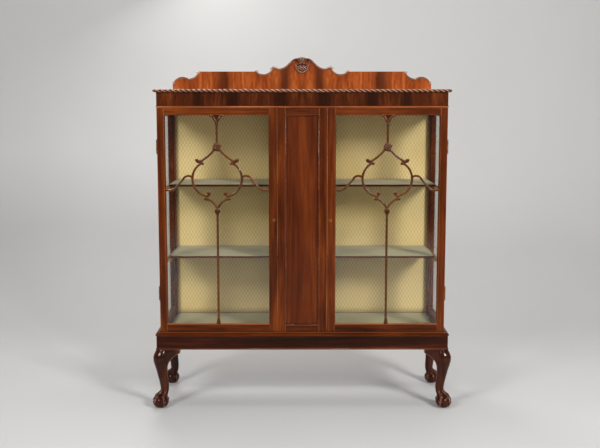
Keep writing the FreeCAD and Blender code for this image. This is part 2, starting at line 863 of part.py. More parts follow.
lips = [profiled_body("lip_" + name, lip_outline(curve), "pediment_thickness + lip_overhang", "-apron_face")
        for name, curve in (("end", end_curve), ("crest", crest_curve))]
node("pediment_lips", both_sides(lips))
shell_top = "top_surface + pediment_crest - lip_thickness - shell_top_gap - "
shell_outline = [
    ("shell_shoulder_half", shell_top + "shell_shoulder_drop"),
    ("shell_half", shell_top + "shell_waist_drop", ("shell_half", shell_top + "shell_brow_drop")),
    ("0", shell_top + "shell_height", ("shell_flank_half", shell_top + "shell_flank_drop")),
    ("-shell_half", shell_top + "shell_waist_drop", ("-shell_flank_half", shell_top + "shell_flank_drop")),
    ("-shell_shoulder_half", shell_top + "shell_shoulder_drop",
     ("-shell_half", shell_top + "shell_brow_drop")),
]
node("pediment_shell", [profiled_body("pediment_shell", shell_outline, "shell_thickness",
                                      "-apron_face + pediment_thickness")])

# Fixed centre panel with its stiles, rails and bead
centre_depth = ("-door_face", "-door_back")
stile = board(("half_centre - centre_stile", "half_centre"), centre_depth, ("floor_top", "ceiling_bottom"))
node("centre_stiles", both_sides([stile]))
centre_across = ("-half_centre + centre_stile", "half_centre - centre_stile")
node("centre_rails", [
    board(centre_across, centre_depth, ("floor_top", "floor_top + centre_bottom_rail")),
    board(centre_across, centre_depth, ("ceiling_bottom - centre_top_rail", "ceiling_bottom"))])
panel_front = "-door_face + centre_panel_setback"
centre_rise = ("floor_top + centre_bottom_rail", "ceiling_bottom - centre_top_rail")
panel_depth = (panel_front, panel_front + " + centre_panel_thickness")
node("centre_panel", [board(centre_across, panel_depth, centre_rise)])
bead_depth = ("-door_face - centre_bead_proud", panel_front)
upright_bead = board(("half_centre - centre_stile - centre_bead", "half_centre - centre_stile"), bead_depth,
                     centre_rise)
level_across = ("-half_centre + centre_stile + centre_bead", "half_centre - centre_stile - centre_bead")
node("centre_bead", both_sides([upright_bead]) + [
    board(level_across, bead_depth, (centre_rise[0], centre_rise[0] + " + centre_bead")),
    board(level_across, bead_depth, (centre_rise[1] + " - centre_bead", centre_rise[1]))])

# Shelves on bearers, and the fabric linings
shelf_across = ("-shelf_width / 2", "shelf_width / 2")
shelf_depth = ("-door_face + shelf_setback", "lining_face - lining_clearance")
shelf_levels = {shelf: "floor_top + " + shelf + "_height" for shelf in ("lower_shelf", "upper_shelf")}
bearers = []
shelf_linings = []
for name, level in shelf_levels.items():
    under = level + " - shelf_thickness"
    node(name, [board(shelf_across, shelf_depth, (under, level))])
    bearers.append(board(("side_glass_inner - side_bead - bearer_width", "side_glass_inner - side_bead"),
                         between_posts, (under + " - bearer_height", under)))
    shelf_linings.append(board(
        ("-shelf_width / 2 + lining_clearance", "shelf_width / 2 - lining_clearance"),
        (shelf_depth[0] + " + lining_clearance", shelf_depth[1]), (level, level + " + lining_thickness")))
node("shelf_bearers", both_sides(bearers))
node("shelf_linings", shelf_linings)
lining_across = ("-post_inner + lining_clearance", "post_inner - lining_clearance")
node("floor_lining", [board(lining_across, ("-post_face + lining_clearance", "lining_face"),
                            ("floor_top", "floor_top + lining_thickness"))])
node("back_lining", [board(lining_across, ("lining_face", "back_face"),
                           ("floor_top + lining_thickness", "ceiling_bottom - lining_clearance"))])

# Right door frame, with rebates for the glass
door_depth = ("-door_face", "-door_back")
rebate_rise = ("glass_bottom - rebate_width", "glass_top + rebate_width")
rebate_deep = ("-rebate_face", "-door_back")
hinge_stile = board(("glass_right", "half_carcase"), door_depth, ("door_bottom", "door_top"))
hinge_cuts = [board(("glass_right", "glass_right + rebate_width"), rebate_deep, rebate_rise)]
for level in hinge_levels:
    hinge_cuts.append(board((leaf_inner, "half_carcase"), ("-(" + door_leaf_front + ")", "-door_back"),
                            (level, level + " + hinge_height")))
lock_stile = board(("door_inner", "glass_left"), door_depth, ("door_bottom", "door_top"))
lock_case_across = ("lock_case_x", "lock_case_x + lock_case_width")
lock_case_deep = ("-lock_case_face", "-lock_case_back")
lock_case_rise = ("lock_z - lock_case_height / 2", "lock_z + lock_case_height / 2")
bolt_across = ("bolt_x - bolt_setback", "bolt_x + bolt_length + bolt_clearance")
bolt_deep = ("-bolt_y - bolt_thickness - bolt_clearance", "-bolt_y + bolt_clearance")
bolt_rise = ("lock_z - bolt_height / 2 - bolt_clearance", "lock_z + bolt_height / 2 + bolt_clearance")
lock_cuts = [
    board(("glass_left - rebate_width", "glass_left"), rebate_deep, rebate_rise),
    board(lock_case_across, ("-lock_case_face", "-door_back"), lock_case_rise),
    cross_rod("keyhole_x", "-door_face", "lock_z", "escutcheon_radius", "escutcheon_thickness"),
    cross_rod("keyhole_x", "-door_face", "lock_z", "keyhole_radius", "door_face - lock_case_face"),
]
top_rail = board(("glass_left", "glass_right"), door_depth, ("glass_top", "door_top"))
top_rebate = board(("glass_left", "glass_right"), rebate_deep, ("glass_top", rebate_rise[1]))
bottom_rail = board(("glass_left", "glass_right"), door_depth, ("door_bottom", "glass_bottom"))
bottom_rebate = board(("glass_left", "glass_right"), rebate_deep, (rebate_rise[0], "glass_bottom"))
glass_spread = "(rebate_width - glass_clearance)"
door_glass = board(("glass_left - " + glass_spread, "glass_right + " + glass_spread),
                   ("-rebate_face", "-glass_back"),
                   ("glass_bottom - " + glass_spread, "glass_top + " + glass_spread))
bead_deep = ("-glass_back", "-door_back")
bead_bars = [
    board(("glass_left - rebate_width", "glass_left"), bead_deep, rebate_rise),
    board(("glass_right", "glass_right + rebate_width"), bead_deep, rebate_rise),
    board(("glass_left", "glass_right"), bead_deep, (rebate_rise[0], "glass_bottom")),
    board(("glass_left", "glass_right"), bead_deep, ("glass_top", rebate_rise[1])),
]

# Lock of the right door
plate = cross_rod("keyhole_x", "-door_face", "lock_z", "escutcheon_radius", "escutcheon_thickness")
escutcheon = cut(plate, [
    cross_rod("keyhole_x", "-door_face", "lock_z", "keyhole_radius", "escutcheon_thickness"),
    board(("keyhole_x - keyhole_slot_width / 2", "keyhole_x + keyhole_slot_width / 2"),
          ("-door_face", "-door_face + escutcheon_thickness"),
          ("lock_z - keyhole_slot_height / 2", "lock_z"))])
lock_case = cut(board(lock_case_across, lock_case_deep, lock_case_rise),
                [board(bolt_across, bolt_deep, bolt_rise)])
lock_bolt = board(("bolt_x", "bolt_x + bolt_length"), ("-bolt_y - bolt_thickness", "-bolt_y"),
                  ("lock_z - bolt_height / 2", "lock_z + bolt_height / 2"))


# Butt hinges of the right door
BARREL_SIDES = 12


def knuckle(level, low, high, towards_front):
    """One knuckle of a hinge, with the web that joins it to its leaf."""
    barrel = doc.addObject("Part::Prism", "barrel")
    barrel.Polygon = BARREL_SIDES
    barrel.setExpression("Circumradius", bound("barrel_radius"))
    barrel.setExpression("Height", bound("(" + high + ") - (" + low + ")"))
    for axis, expression in (("x", "hinge_x"), ("y", "-hinge_y"), ("z", level + low)):
        barrel.setExpression("Placement.Base." + axis, bound(expression))
    near = "-hinge_y - leaf_gap / 2 - leaf_thickness" if towards_front else "-hinge_y + leaf_gap / 2"
    web = board(("half_carcase", "hinge_x"), (near, near + " + leaf_thickness"), (level + low, level + high))
    return [barrel, web]


def hinge_leaf(level, towards_front):
    near = "-hinge_y - leaf_gap / 2 - leaf_thickness" if towards_front else "-hinge_y + leaf_gap / 2"
    pieces = [board((leaf_inner, "half_carcase"), (near, near + " + leaf_thickness"),
                    (level, level + " + hinge_height"))]
    if towards_front:
        pieces += knuckle(level, " + hinge_height / 3 + knuckle_gap",
                          " + hinge_height * 2 / 3 - knuckle_gap", True)
    else:
        pieces += knuckle(level, " + 0", " + hinge_height / 3", False)
        pieces += knuckle(level, " + hinge_height * 2 / 3", " + hinge_height", False)
    bore = rod("hinge_x", "-hinge_y", level, "pin_radius + pin_clearance", "hinge_height")
    return cut(fuse(pieces), [bore])


node("carcase_hinge_leaves", both_sides([hinge_leaf(level, False) for level in hinge_levels]))
node("hinge_pins", both_sides([rod("hinge_x", "-hinge_y", level, "pin_radius", "hinge_height")
                               for level in hinge_levels]))


# Tracery in front of the door glass
BOSS_SIDES = 10


def bar_along(edges):
    """A glazing bar that narrows from its back to its crown, swept along edges in the plane of the glass."""
    path = Part.Wire(edges)
    first = path.OrderedEdges[0]
    start = path.OrderedVertexes[0].Point
    side = first.tangentAt(first.Curve.parameter(start)).cross(Vector(0, 1, 0))
    wide = side * value("bar_width / 2")
    crown = side * value("bar_crown / 2")
    proud = Vector(0, -value("bar_depth"), 0)
    corners = [wide, -wide, proud - crown, proud + crown, wide]
    sweep = Part.BRepOffsetAPI.MakePipeShell(path)
    sweep.setBiNormalMode(Vector(0, 1, 0))
    sweep.add(Part.makePolygon([start + corner for corner in corners]))
    sweep.build()
    sweep.makeSolid()
    return sweep.shape()


def boss(at, radius):
    """A carved boss standing on the glass, tapering in flats towards the front."""
    forwards = Vector(0, -1, 0)
    front = at + forwards * value("boss_depth")
    return flat_sided([ring(at, forwards, radius, BOSS_SIDES), ring(front, forwards, radius / 2, BOSS_SIDES)])


def below_rosette(half, drop):
    """A point of the lattice, out from its middle and down from its rosette."""
    return Vector(value(half), 0, value("rosette_z - " + drop))


def below_top(half, drop):
    """A point of the lattice, out from its middle and down from the top of the glass."""
    return Vector(value(half), 0, value("glass_top - " + drop))


def carved_flat(edges):
    """A carved leaf or foot: an outline on the glass, as deep as a boss."""
    return Part.Face(Part.Wire(edges)).extrude(Vector(0, -value("boss_depth"), 0))


def tracery_shape():
    """The whole lattice of the right door, its back on the glass."""
    at = below_rosette
    glass_half = "(glass_right - glass_left) / 2"
    ogee = at("ogee_half", "ogee_drop")
    tail = at("tail_half", "ogee_drop")
    lobe_end = at("lobe_end_half", "lobe_end_drop")
    curl = at("curl_half", "curl_drop")
    cusp = at("cusp_half", "cusp_drop")
    slope = at("arm_slope_half", "arm_slope_drop")
    turn = at("arm_turn_half", "arm_turn_drop")
    right = [
        bar_along([arc(at("ogee_start_half", "ogee_start_drop"),
                       at("ogee_bend_half", "ogee_bend_drop"), ogee),
                   arc(ogee, at("tail_bend_half", "tail_bend_drop"), tail)]),
        bar_along([arc(at("ogee_half", "lobe_start_drop"), at("lobe_half", "lobe_drop"), lobe_end)]),
        bar_along([arc(lobe_end, at("curl_bend_half", "curl_bend_drop"), curl)]),
        bar_along([arc(cusp, at("cusp_bend_half", "cusp_bend_drop"), at("0", "cusp_end_drop"))]),
        bar_along([arc(at("arm_start_half", "arm_start_drop"), at("arm_crown_half", "arm_crown_drop"), slope),
                   line(slope, turn),
                   arc(turn, at("arm_sag_half", "arm_sag_drop"), at(glass_half, "arm_end_drop"))]),
    ]
    scrolls = (tail, at("ogee_half", "lobe_start_drop"), curl, cusp)
    right += [boss(spot, value("scroll_radius")) for spot in scrolls]
    left = [piece.mirror(Vector(), Vector(1, 0, 0)) for piece in right]
    leaf_tip = below_top("0", "leaf_drop")
    leaf_right = below_top("leaf_half", "0")
    leaf_left = below_top("-leaf_half", "0")
    foot_top = "glass_bottom + bar_foot_height"
    foot = [Vector(value(half), 0, value(height)) for half, height in (
        ("-bar_foot_half", "glass_bottom"), ("bar_foot_half", "glass_bottom"),
        ("bar_width / 2", foot_top), ("-bar_width / 2", foot_top))]
    middle = [
        bar_along([line(below_top("0", "leaf_bend_drop"), at("0", "0"))]),
        bar_along([line(at("0", "drop_boss"), Vector(0, 0, value("glass_bottom")))]),
        boss(at("0", "0"), value("rosette_radius")),
        boss(at("0", "drop_boss"), value("boss_radius")),
        carved_flat([line(leaf_left, leaf_right),
                     arc(leaf_right, below_top("leaf_bend_half", "leaf_bend_drop"), leaf_tip),
                     arc(leaf_tip, below_top("-leaf_bend_half", "leaf_bend_drop"), leaf_left)]),
        carved_flat(Part.makePolygon(foot + foot[:1]).Edges),
    ]
    lattice = middle[0].fuse(middle[1:] + right + left).removeSplitter()
    half = value(glass_half)
    depth = value("boss_depth")
    bottom = value("glass_bottom")
    room = Part.makeBox(2 * half, depth, value("glass_top") - bottom, Vector(-half, -depth, bottom))
    return lattice.common(room)


# Both doors, piece by piece
right_door = {
    "hinge_stile": [cut(hinge_stile, hinge_cuts)],
    "lock_stile": [cut(lock_stile, lock_cuts)],
    "door_rails": [cut(top_rail, [top_rebate]), cut(bottom_rail, [bottom_rebate])],
    "door_glass": [door_glass],
    "glazing_beads": bead_bars,
    "tracery": [shaped("tracery", tracery_shape(), place("tracery_x", "-rebate_face", "0"))],
    "hinge_leaves": [hinge_leaf(level, True) for level in hinge_levels],
    "lock": [lock_case, escutcheon],
    "lock_bolt": [lock_bolt],
}
for name, pieces in right_door.items():
    node("right_" + name, pieces)
    node("left_" + name, [mirrored(piece) for piece in pieces])

# Check every object, then write one file for each sub-part
doc.recompute()
for item in doc.Objects:
    if "Invalid" in item.State or "Error" in item.State:
        raise RuntimeError("failed: " + item.Name + " " + item.getStatusString())
os.makedirs("parts", exist_ok=True)
for name, item in nodes.items():
    shape = item.Shape
    if shape.isNull() or not shape.isValid() or not shape.Solids:
        raise RuntimeError("bad shape: " + name)
    shape.exportStep("parts/" + name + ".step")
print(len(nodes), "sub-parts")
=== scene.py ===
# %% [markdown]
# This lesson dresses a glazed display cabinet: a mahogany case on a low stand with carved feet, two glass
# doors with wooden tracery, a fixed panel between them and a shaped board along the back of the top.
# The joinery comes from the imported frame. What is added here is the softened edges, the carving, the cloth
# on the shelves and the finishes.

# %% The frame
import json
from math import cos, exp, pi, radians, sin

import bmesh
import bpy
from mathutils import Matrix, Vector

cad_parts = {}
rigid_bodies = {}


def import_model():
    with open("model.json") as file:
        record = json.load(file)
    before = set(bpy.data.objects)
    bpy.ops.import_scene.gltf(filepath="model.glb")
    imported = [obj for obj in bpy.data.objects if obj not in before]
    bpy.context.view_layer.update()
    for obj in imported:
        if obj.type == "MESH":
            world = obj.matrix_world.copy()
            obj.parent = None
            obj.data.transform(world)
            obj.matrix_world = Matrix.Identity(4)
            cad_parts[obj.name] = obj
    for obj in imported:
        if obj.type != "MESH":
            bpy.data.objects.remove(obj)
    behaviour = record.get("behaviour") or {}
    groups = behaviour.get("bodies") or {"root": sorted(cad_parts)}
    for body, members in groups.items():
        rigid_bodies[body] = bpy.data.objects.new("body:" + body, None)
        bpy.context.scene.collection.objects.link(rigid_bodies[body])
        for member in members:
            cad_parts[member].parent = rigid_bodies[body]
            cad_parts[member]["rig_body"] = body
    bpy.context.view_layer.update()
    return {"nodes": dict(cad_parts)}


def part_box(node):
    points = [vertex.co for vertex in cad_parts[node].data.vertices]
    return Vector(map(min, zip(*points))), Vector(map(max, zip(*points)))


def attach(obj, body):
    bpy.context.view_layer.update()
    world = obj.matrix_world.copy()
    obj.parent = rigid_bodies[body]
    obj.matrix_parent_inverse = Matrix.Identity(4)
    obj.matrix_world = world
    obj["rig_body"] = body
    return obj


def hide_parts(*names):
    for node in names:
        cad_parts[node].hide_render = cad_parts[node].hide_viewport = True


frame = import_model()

MM = 0.001
print("nodes in the frame:", len(frame["nodes"]))

# %% [markdown]
# Shader maths is easier to read as arithmetic than as a web of nodes. A small class wraps one socket, so
# that adding two of them makes a Math node, and one method makes every other kind of node.

# %% Shader arithmetic
class Shade:
    """A socket in a material, with the operators that the finishes below use."""

    def __init__(self, tree, socket=None):
        self.tree = tree
        self.socket = socket

    def node(self, kind, settings=None, sockets=None, output=0):
        """Adds a node, with its settings first and then the values or links of its sockets."""
        made = self.tree.nodes.new(kind)
        for key, setting in (settings or {}).items():
            if key == "stops":
                self.set_stops(made.color_ramp.elements, setting)
            else:
                setattr(made, key, setting)
        for key, given in (sockets or {}).items():
            if isinstance(given, Shade):
                self.tree.links.new(given.socket, made.inputs[key])
            else:
                made.inputs[key].default_value = given
        return Shade(self.tree, made.outputs[output])

    @staticmethod
    def set_stops(elements, stops):
        """Gives a colour ramp its stops, each a position and a colour, in place of the two it starts with."""
        for position, shade in stops:
            elements.new(position).color = shade
        elements.remove(elements[0])
        elements.remove(elements[-1])

    def math(self, operation, *values):
        return self.node("ShaderNodeMath", {"operation": operation}, dict(enumerate(values)))

    def __add__(self, other):
        return self.math("ADD", self, other)

    def __sub__(self, other):
        return self.math("SUBTRACT", self, other)

    def __rsub__(self, other):
        return self.math("SUBTRACT", other, self)

    def __mul__(self, other):
        return self.math("MULTIPLY", self, other)

    def __truediv__(self, other):
        return self.math("DIVIDE", self, other)

    def __rtruediv__(self, other):
        return self.math("DIVIDE", other, self)

    def __pow__(self, other):
        return self.math("POWER", self, other)

    __radd__ = __add__
    __rmul__ = __mul__


def colour(red, green, blue):
    """A colour written as it shows on screen, turned into the light that it stands for."""
    light = []
    for part in (red, green, blue):
        part = part / 255
        light.append(part / 12.92 if part < 0.04045 else ((part + 0.055) / 1.055) ** 2.4)
    return (*light, 1)


def new_finish(name):
    """An empty finish: its material, its main shader and a wrapped tree to build on."""
    material = bpy.data.materials.new(name)
    material.use_nodes = True
    tree = material.node_tree
    return material, tree.nodes["Principled BSDF"], Shade(tree)


def noise(base, place, scale, detail=2, roughness=0.5, distortion=0):
    """Noise read at a place: a larger scale makes it finer, and distortion makes it swirl."""
    sockets = dict(Vector=place, Scale=scale, Detail=detail, Roughness=roughness, Distortion=distortion)
    return base.node("ShaderNodeTexNoise", sockets=sockets)


def object_place(base):
    """The place of a point on the piece, which moves with the piece."""
    return base.node("ShaderNodeTexCoord", output="Object")


def axis_values(base, place):
    """The X, Y and Z of a place, each as a value of its own."""
    split = base.node("ShaderNodeSeparateXYZ", sockets={0: place}).socket.node
    return {axis: Shade(base.tree, split.outputs[axis]) for axis in "XYZ"}


def ramp(base, tone, positions, colours):
    """The colour that a tone picks from colours at rising positions."""
    return base.node("ShaderNodeValToRGB", {"stops": zip(positions, colours)}, {0: tone})


def blend(base, factor, first, second):
    """The first colour, going over to the second as the factor rises."""
    return base.node("ShaderNodeMix", {"data_type": "RGBA"}, {0: factor, 6: first, 7: second}, 2)


def step(base, value, low, high):
    """0 below low, 1 above high and a soft slope between them."""
    return base.node("ShaderNodeMapRange", {"interpolation_type": "SMOOTHSTEP"},
                     {"Value": value, "From Min": low, "From Max": high})


def connect(base, shader, colour_made, roughness, height=None, bump=0.2, depth=0.4 * MM):
    """Links what varies over a surface to the main shader."""
    base.tree.links.new(colour_made.socket, shader.inputs["Base Color"])
    base.tree.links.new(roughness.socket, shader.inputs["Roughness"])
    if height:
        raised = base.node("ShaderNodeBump", sockets={"Strength": bump, "Distance": depth, "Height": height})
        base.tree.links.new(raised.socket, shader.inputs["Normal"])


def show(base, made):
    """Makes a shader the one that is seen."""
    base.tree.links.new(made.socket, base.tree.nodes["Material Output"].inputs["Surface"])


print("shader arithmetic ready")

# %% [markdown]
# Polished mahogany has long dark streaks, a broad ribbon figure that catches the light, and short open pores.
# Each could be a picture, but noise stretched along the grain needs no file and never repeats. The grain of a
# rail runs along it, so the finish is made once for each of the three directions. Edges and high spots that
# hands and dusters rub go paler, which on the carving is also a painted highlight, and hollows go dark with
# old
# polish and painted shade: the pieces below carry a number for this, above zero for the first and below zero
# for the second, and the finish only reads it.

# %% Mahogany
GRAIN = {"x": (0, 1, 1), "y": (1, 0, 1), "z": (1, 1, 0)}
POLISH = 0.08
CARVED_POLISH = 0.28
POLISH_ROUGHNESS = 0.09
SHINE = 0.06
# Colours of raised spots: the first is rubbed edge wear, and the paler ones on the carving are wear and a
# painted highlight. The near-black is old polish and painted shade in hollows, and the dark of board joints.
WORN = colour(190, 112, 66)
PALE_WEAR_AND_HIGHLIGHT = colour(214, 160, 128)
CARVED_WEAR_AND_HIGHLIGHT = colour(182, 122, 72)
SHELL_WEAR_AND_HIGHLIGHT = colour(240, 200, 176)
LEG_WEAR_AND_HIGHLIGHT = colour(168, 112, 86)
GRIME_AND_SHADE = colour(16, 7, 4)
GRIME_AND_SHADE_STRENGTH = 0.85
STREAK_STRETCH = 0.06
PORE_STRETCH = 0.025
RIBBON_SCALE, STREAK_SCALE, CLOUD_SCALE, PORE_SCALE = 16, 95, 5, 760
PORE_EDGE = (0.57, 0.7)
PORE_DARKNESS = 0.45
WOOD_STOPS = (0.36, 0.5, 0.64)
CASE_GLOSS = 0.34


def stretched(base, place, grain, along):
    """Object coordinates squeezed along the grain, so that noise on them becomes streaks."""
    scale = tuple(1 if across else along for across in GRAIN[grain])
    return base.node("ShaderNodeMapping", sockets={"Vector": place, "Scale": scale})


def polish_coat(shader, polish):
    """A thin layer of French polish, with little of the hard white shine that new lacquer has."""
    shader.inputs["Coat Weight"].default_value = polish
    shader.inputs["Coat Roughness"].default_value = POLISH_ROUGHNESS
    shader.inputs["Specular IOR Level"].default_value = SHINE


def mahogany(name, grain, dark, middle, pale, gloss=CASE_GLOSS, polish=POLISH, wear_and_highlight_colour=WORN):
    """Wood with its grain along an axis. Less gloss is smoother, and the last colour is that of rubbed spots
    and painted highlights.
    """
    material, shader, base = new_finish(name)
    place = object_place(base)
    long_place = stretched(base, place, grain, STREAK_STRETCH)
    pore_place = stretched(base, place, grain, PORE_STRETCH)
    ribbon = noise(base, long_place, RIBBON_SCALE, distortion=1.6)
    streak = noise(base, long_place, STREAK_SCALE, detail=6, roughness=0.65, distortion=0.4)
    cloud = noise(base, place, CLOUD_SCALE)
    pores = step(base, noise(base, pore_place, PORE_SCALE), *PORE_EDGE)
    tone = ribbon * 0.45 + streak * 0.4 + cloud * 0.15
    wood = ramp(base, tone, WOOD_STOPS, (dark, middle, pale))
    pored = blend(base, pores * PORE_DARKNESS, wood, dark)
    wear_and_painted_light = base.node("ShaderNodeAttribute", {"attribute_name": "wear_and_painted_light"}, output="Fac")
    # Raised spots blend to the rubbed colour, which is wear and a painted highlight; hollows blend to near
    # black, which is old polish and painted shade.
    worn_and_highlit = blend(base, wear_and_painted_light * (cloud * 0.6 + 0.35), pored, wear_and_highlight_colour)
    dirtied_and_shaded = blend(base, wear_and_painted_light * -GRIME_AND_SHADE_STRENGTH, worn_and_highlit, GRIME_AND_SHADE)
    roughness = gloss + cloud * 0.12 + pores * 0.12 - 0.06
    connect(base, shader, dirtied_and_shaded, roughness, streak * 0.25 - pores, 0.12)
    polish_coat(shader, polish)
    return material


CASE_COLOURS = (colour(42, 14, 4), colour(79, 32, 7), colour(113, 52, 14))
STAND_COLOURS = (colour(26, 9, 3), colour(46, 17, 6), colour(72, 29, 10))
LEG_COLOURS = (colour(28, 10, 4), colour(52, 19, 7), colour(78, 33, 13))
PANEL_COLOURS = (colour(56, 21, 6), colour(79, 32, 9), colour(101, 45, 14))
CARVED_COLOURS = (colour(34, 12, 4), colour(58, 24, 7), colour(86, 41, 13))
LIP_COLOURS = (colour(52, 22, 11), colour(80, 36, 18), colour(110, 54, 28))
ROPE_COLOURS = (colour(44, 16, 8), colour(66, 27, 12), colour(92, 40, 18))
# The beads are paler than the wood round them: rubbed wear and a painted highlight of the light along their
# tops.
WORN_AND_LIT_BEAD_COLOURS = (colour(110, 54, 28), colour(154, 88, 52), colour(192, 124, 82))
LOW_WORN_AND_LIT_BEAD_COLOURS = (colour(64, 32, 20), colour(92, 52, 35), colour(124, 78, 56))
SMOOTH_GLOSS, ROPE_GLOSS, BEAD_GLOSS, TRACERY_GLOSS = 0.24, 0.22, 0.26, 0.28
case_wood = {grain: mahogany("polished_mahogany_" + grain, grain, *CASE_COLOURS) for grain in GRAIN}
stand_wood = {grain: mahogany("dark_mahogany_" + grain, grain, *STAND_COLOURS) for grain in GRAIN}
leg_wood = mahogany("leg_mahogany", "z", *LEG_COLOURS, SMOOTH_GLOSS, CARVED_POLISH, LEG_WEAR_AND_HIGHLIGHT)
panel_wood = mahogany("panel_mahogany", "z", *PANEL_COLOURS)
carved_wood = mahogany("carved_mahogany", "z", *CARVED_COLOURS, TRACERY_GLOSS, CARVED_POLISH, CARVED_WEAR_AND_HIGHLIGHT)
rope_wood = mahogany("rope_mahogany", "x", *ROPE_COLOURS, ROPE_GLOSS, CARVED_POLISH, PALE_WEAR_AND_HIGHLIGHT)
lip_wood = mahogany("lip_mahogany", "x", *LIP_COLOURS, SMOOTH_GLOSS, CARVED_POLISH, PALE_WEAR_AND_HIGHLIGHT)
shell_wood = mahogany("shell_mahogany", "x", *LIP_COLOURS, SMOOTH_GLOSS, CARVED_POLISH, SHELL_WEAR_AND_HIGHLIGHT)
worn_and_lit_bead_wood = mahogany("worn_and_lit_bead_mahogany", "x", *WORN_AND_LIT_BEAD_COLOURS, BEAD_GLOSS, CARVED_POLISH)
low_worn_and_lit_bead_wood = mahogany("dull_lit_bead_mahogany", "x", *LOW_WORN_AND_LIT_BEAD_COLOURS, BEAD_GLOSS, CARVED_POLISH)
print("pores lie about", round(1 / (PORE_SCALE * MM), 1), "mm apart across the grain")

# %% [markdown]
# The board along the top and the friezes are faced with flame veneer: two leaves cut from one log and opened
# like a book, so that the left half mirrors the right. Reading the distance from the middle instead of x or y
# gives that match for nothing. Each dark band has a distance from the middle and a width.

# %% Flame veneer
FLAME_BANDS = ((78 * MM, 20 * MM), (352 * MM, 26 * MM))
FRONT_BANDS = ((84 * MM, 30 * MM), (288 * MM, 38 * MM), (424 * MM, 24 * MM))
SIDE_BANDS = ((60 * MM, 26 * MM), (150 * MM, 20 * MM))
FLAME_COLOURS = (colour(92, 36, 10), colour(148, 68, 24), colour(190, 104, 48))
FRIEZE_COLOURS = (colour(40, 13, 3), colour(70, 28, 6), colour(106, 49, 15))
FLAME_STOPS = (0.34, 0.5, 0.66)
FLAME_SHADE = colour(50, 20, 9)
FRIEZE_SHADE = colour(24, 8, 3)
FLAME_STRETCH = 0.16
FLAME_SWAY = 0.06
SWAY_SCALE, FLARE_SCALE, BROAD_SCALE = 9, 120, 22


def flame_veneer(name, along, bands, colours, shade):
    material, shader, base = new_finish(name)
    place = object_place(base)
    parts = axis_values(base, place)
    upward = parts["Z"]
    distance = upward.math("ABSOLUTE", parts[along])
    leaf = base.node("ShaderNodeCombineXYZ", sockets={"X": distance, "Z": upward * FLAME_STRETCH})
    sway = noise(base, leaf, SWAY_SCALE, detail=3, roughness=0.55)
    streak = noise(base, leaf, FLARE_SCALE, detail=6, roughness=0.7, distortion=0.8)
    broad = noise(base, leaf, BROAD_SCALE, detail=3, distortion=1.2)
    shadow = 0
    for centre, width in bands:
        offset = (distance + (sway - 0.5) * FLAME_SWAY - centre) / width
        shadow = shadow + 1 / (offset ** 4 + 1)
    tone = broad * 0.5 + streak * 0.5
    wood = ramp(base, tone, FLAME_STOPS, colours)
    banded = blend(base, shadow * (streak * 0.6 + 0.45), wood, shade)
    connect(base, shader, banded, 0.3 + broad * 0.1, streak, 0.08)
    polish_coat(shader, POLISH)
    return material


flame = flame_veneer("flame_mahogany_leaf", "X", FLAME_BANDS, FLAME_COLOURS, FLAME_SHADE)
front_flame = flame_veneer("flame_mahogany_front", "X", FRONT_BANDS, FRIEZE_COLOURS, FRIEZE_SHADE)
side_flame = flame_veneer("flame_mahogany_side", "Y", SIDE_BANDS, FRIEZE_COLOURS, FRIEZE_SHADE)
print("dark bands in the veneers:", len(FLAME_BANDS), len(FRONT_BANDS), len(SIDE_BANDS))

# %% [markdown]
# The back and the tops of the shelves are covered with one woven damask. It is gold on the wall; on the
# shelves it is painted darker and greener, which is painted shade and a painted reflection of the glass's
# green edges.
# Its trellis of small diamonds comes from two families of slanting lines, which stay sharp at any distance,
# and slow noise fades the cloth unevenly with age.

# %% Damask
DIAMOND = (15 * MM, 26 * MM)
THREAD = 1.1 * MM
TRELLIS_EDGE = (0.6, 0.84)
FLOWER_EDGE = (0.2, 0.42)
FADED_EDGE = (0.42, 0.66)
FADED_SCALE = 3.5
SHEEN = 0.15


def damask(name, upward_axis, ground, figure, faded):
    material, shader, base = new_finish(name)
    place = object_place(base)
    parts = axis_values(base, place)
    across = parts["X"]
    upward = parts[upward_axis]
    nearness = []
    for slant in (1, -1):
        line = across / DIAMOND[0] + upward * (slant / DIAMOND[1])
        nearness.append(1 - line.math("PINGPONG", line, 0.5) * 2)
    edge = nearness[0].math("MAXIMUM", *nearness)
    trellis = step(base, edge, *TRELLIS_EDGE)
    flower = 1 - step(base, edge, *FLOWER_EDGE)
    weave = across.math("SINE", across * (2 * pi / THREAD))
    weft = upward.math("SINE", upward * (2 * pi / THREAD))
    age = noise(base, place, FADED_SCALE, detail=4, roughness=0.6)
    plain = blend(base, step(base, age, *FADED_EDGE), ground, faded)
    pattern = trellis * 0.75 + flower * 0.6
    cloth = blend(base, pattern, plain, figure)
    connect(base, shader, cloth, 0.72 - pattern * 0.12, weave * weft * 0.3 + pattern, 0.25, 0.3 * MM)
    shader.inputs["Sheen Weight"].default_value = SHEEN
    return material


wall_cloth = damask("gold_damask", "Z", colour(225, 202, 145), colour(179, 146, 84), colour(214, 188, 126))
# The shelf cloth is the wall's damask painted darker and greener: painted shade and a painted reflection of
# the glass.
shaded_tinted_shelf_cloth = damask("shaded_glass_tinted_damask", "Y", colour(178, 168, 124), colour(150, 140, 96), colour(164, 151, 106))
print("damask diamonds are", DIAMOND[0] / MM, "by", DIAMOND[1] / MM, "mm")

# %% [markdown]
# Old sheet glass is nearly clear and mirrors the room more at a slant. A mix of a clear and a glossy shader
# does that, and lets the light through to the shelves without costly refraction. The mix comes from how far a
# face turns away, which is the same for the front and the back of a pane. A Fresnel node would take the back
# for glass meeting air and turn a slanting pane black. Hinges and locks are of worn brass, their bolts of
# steel. The back is of wide pine boards, each with a figure of its own.

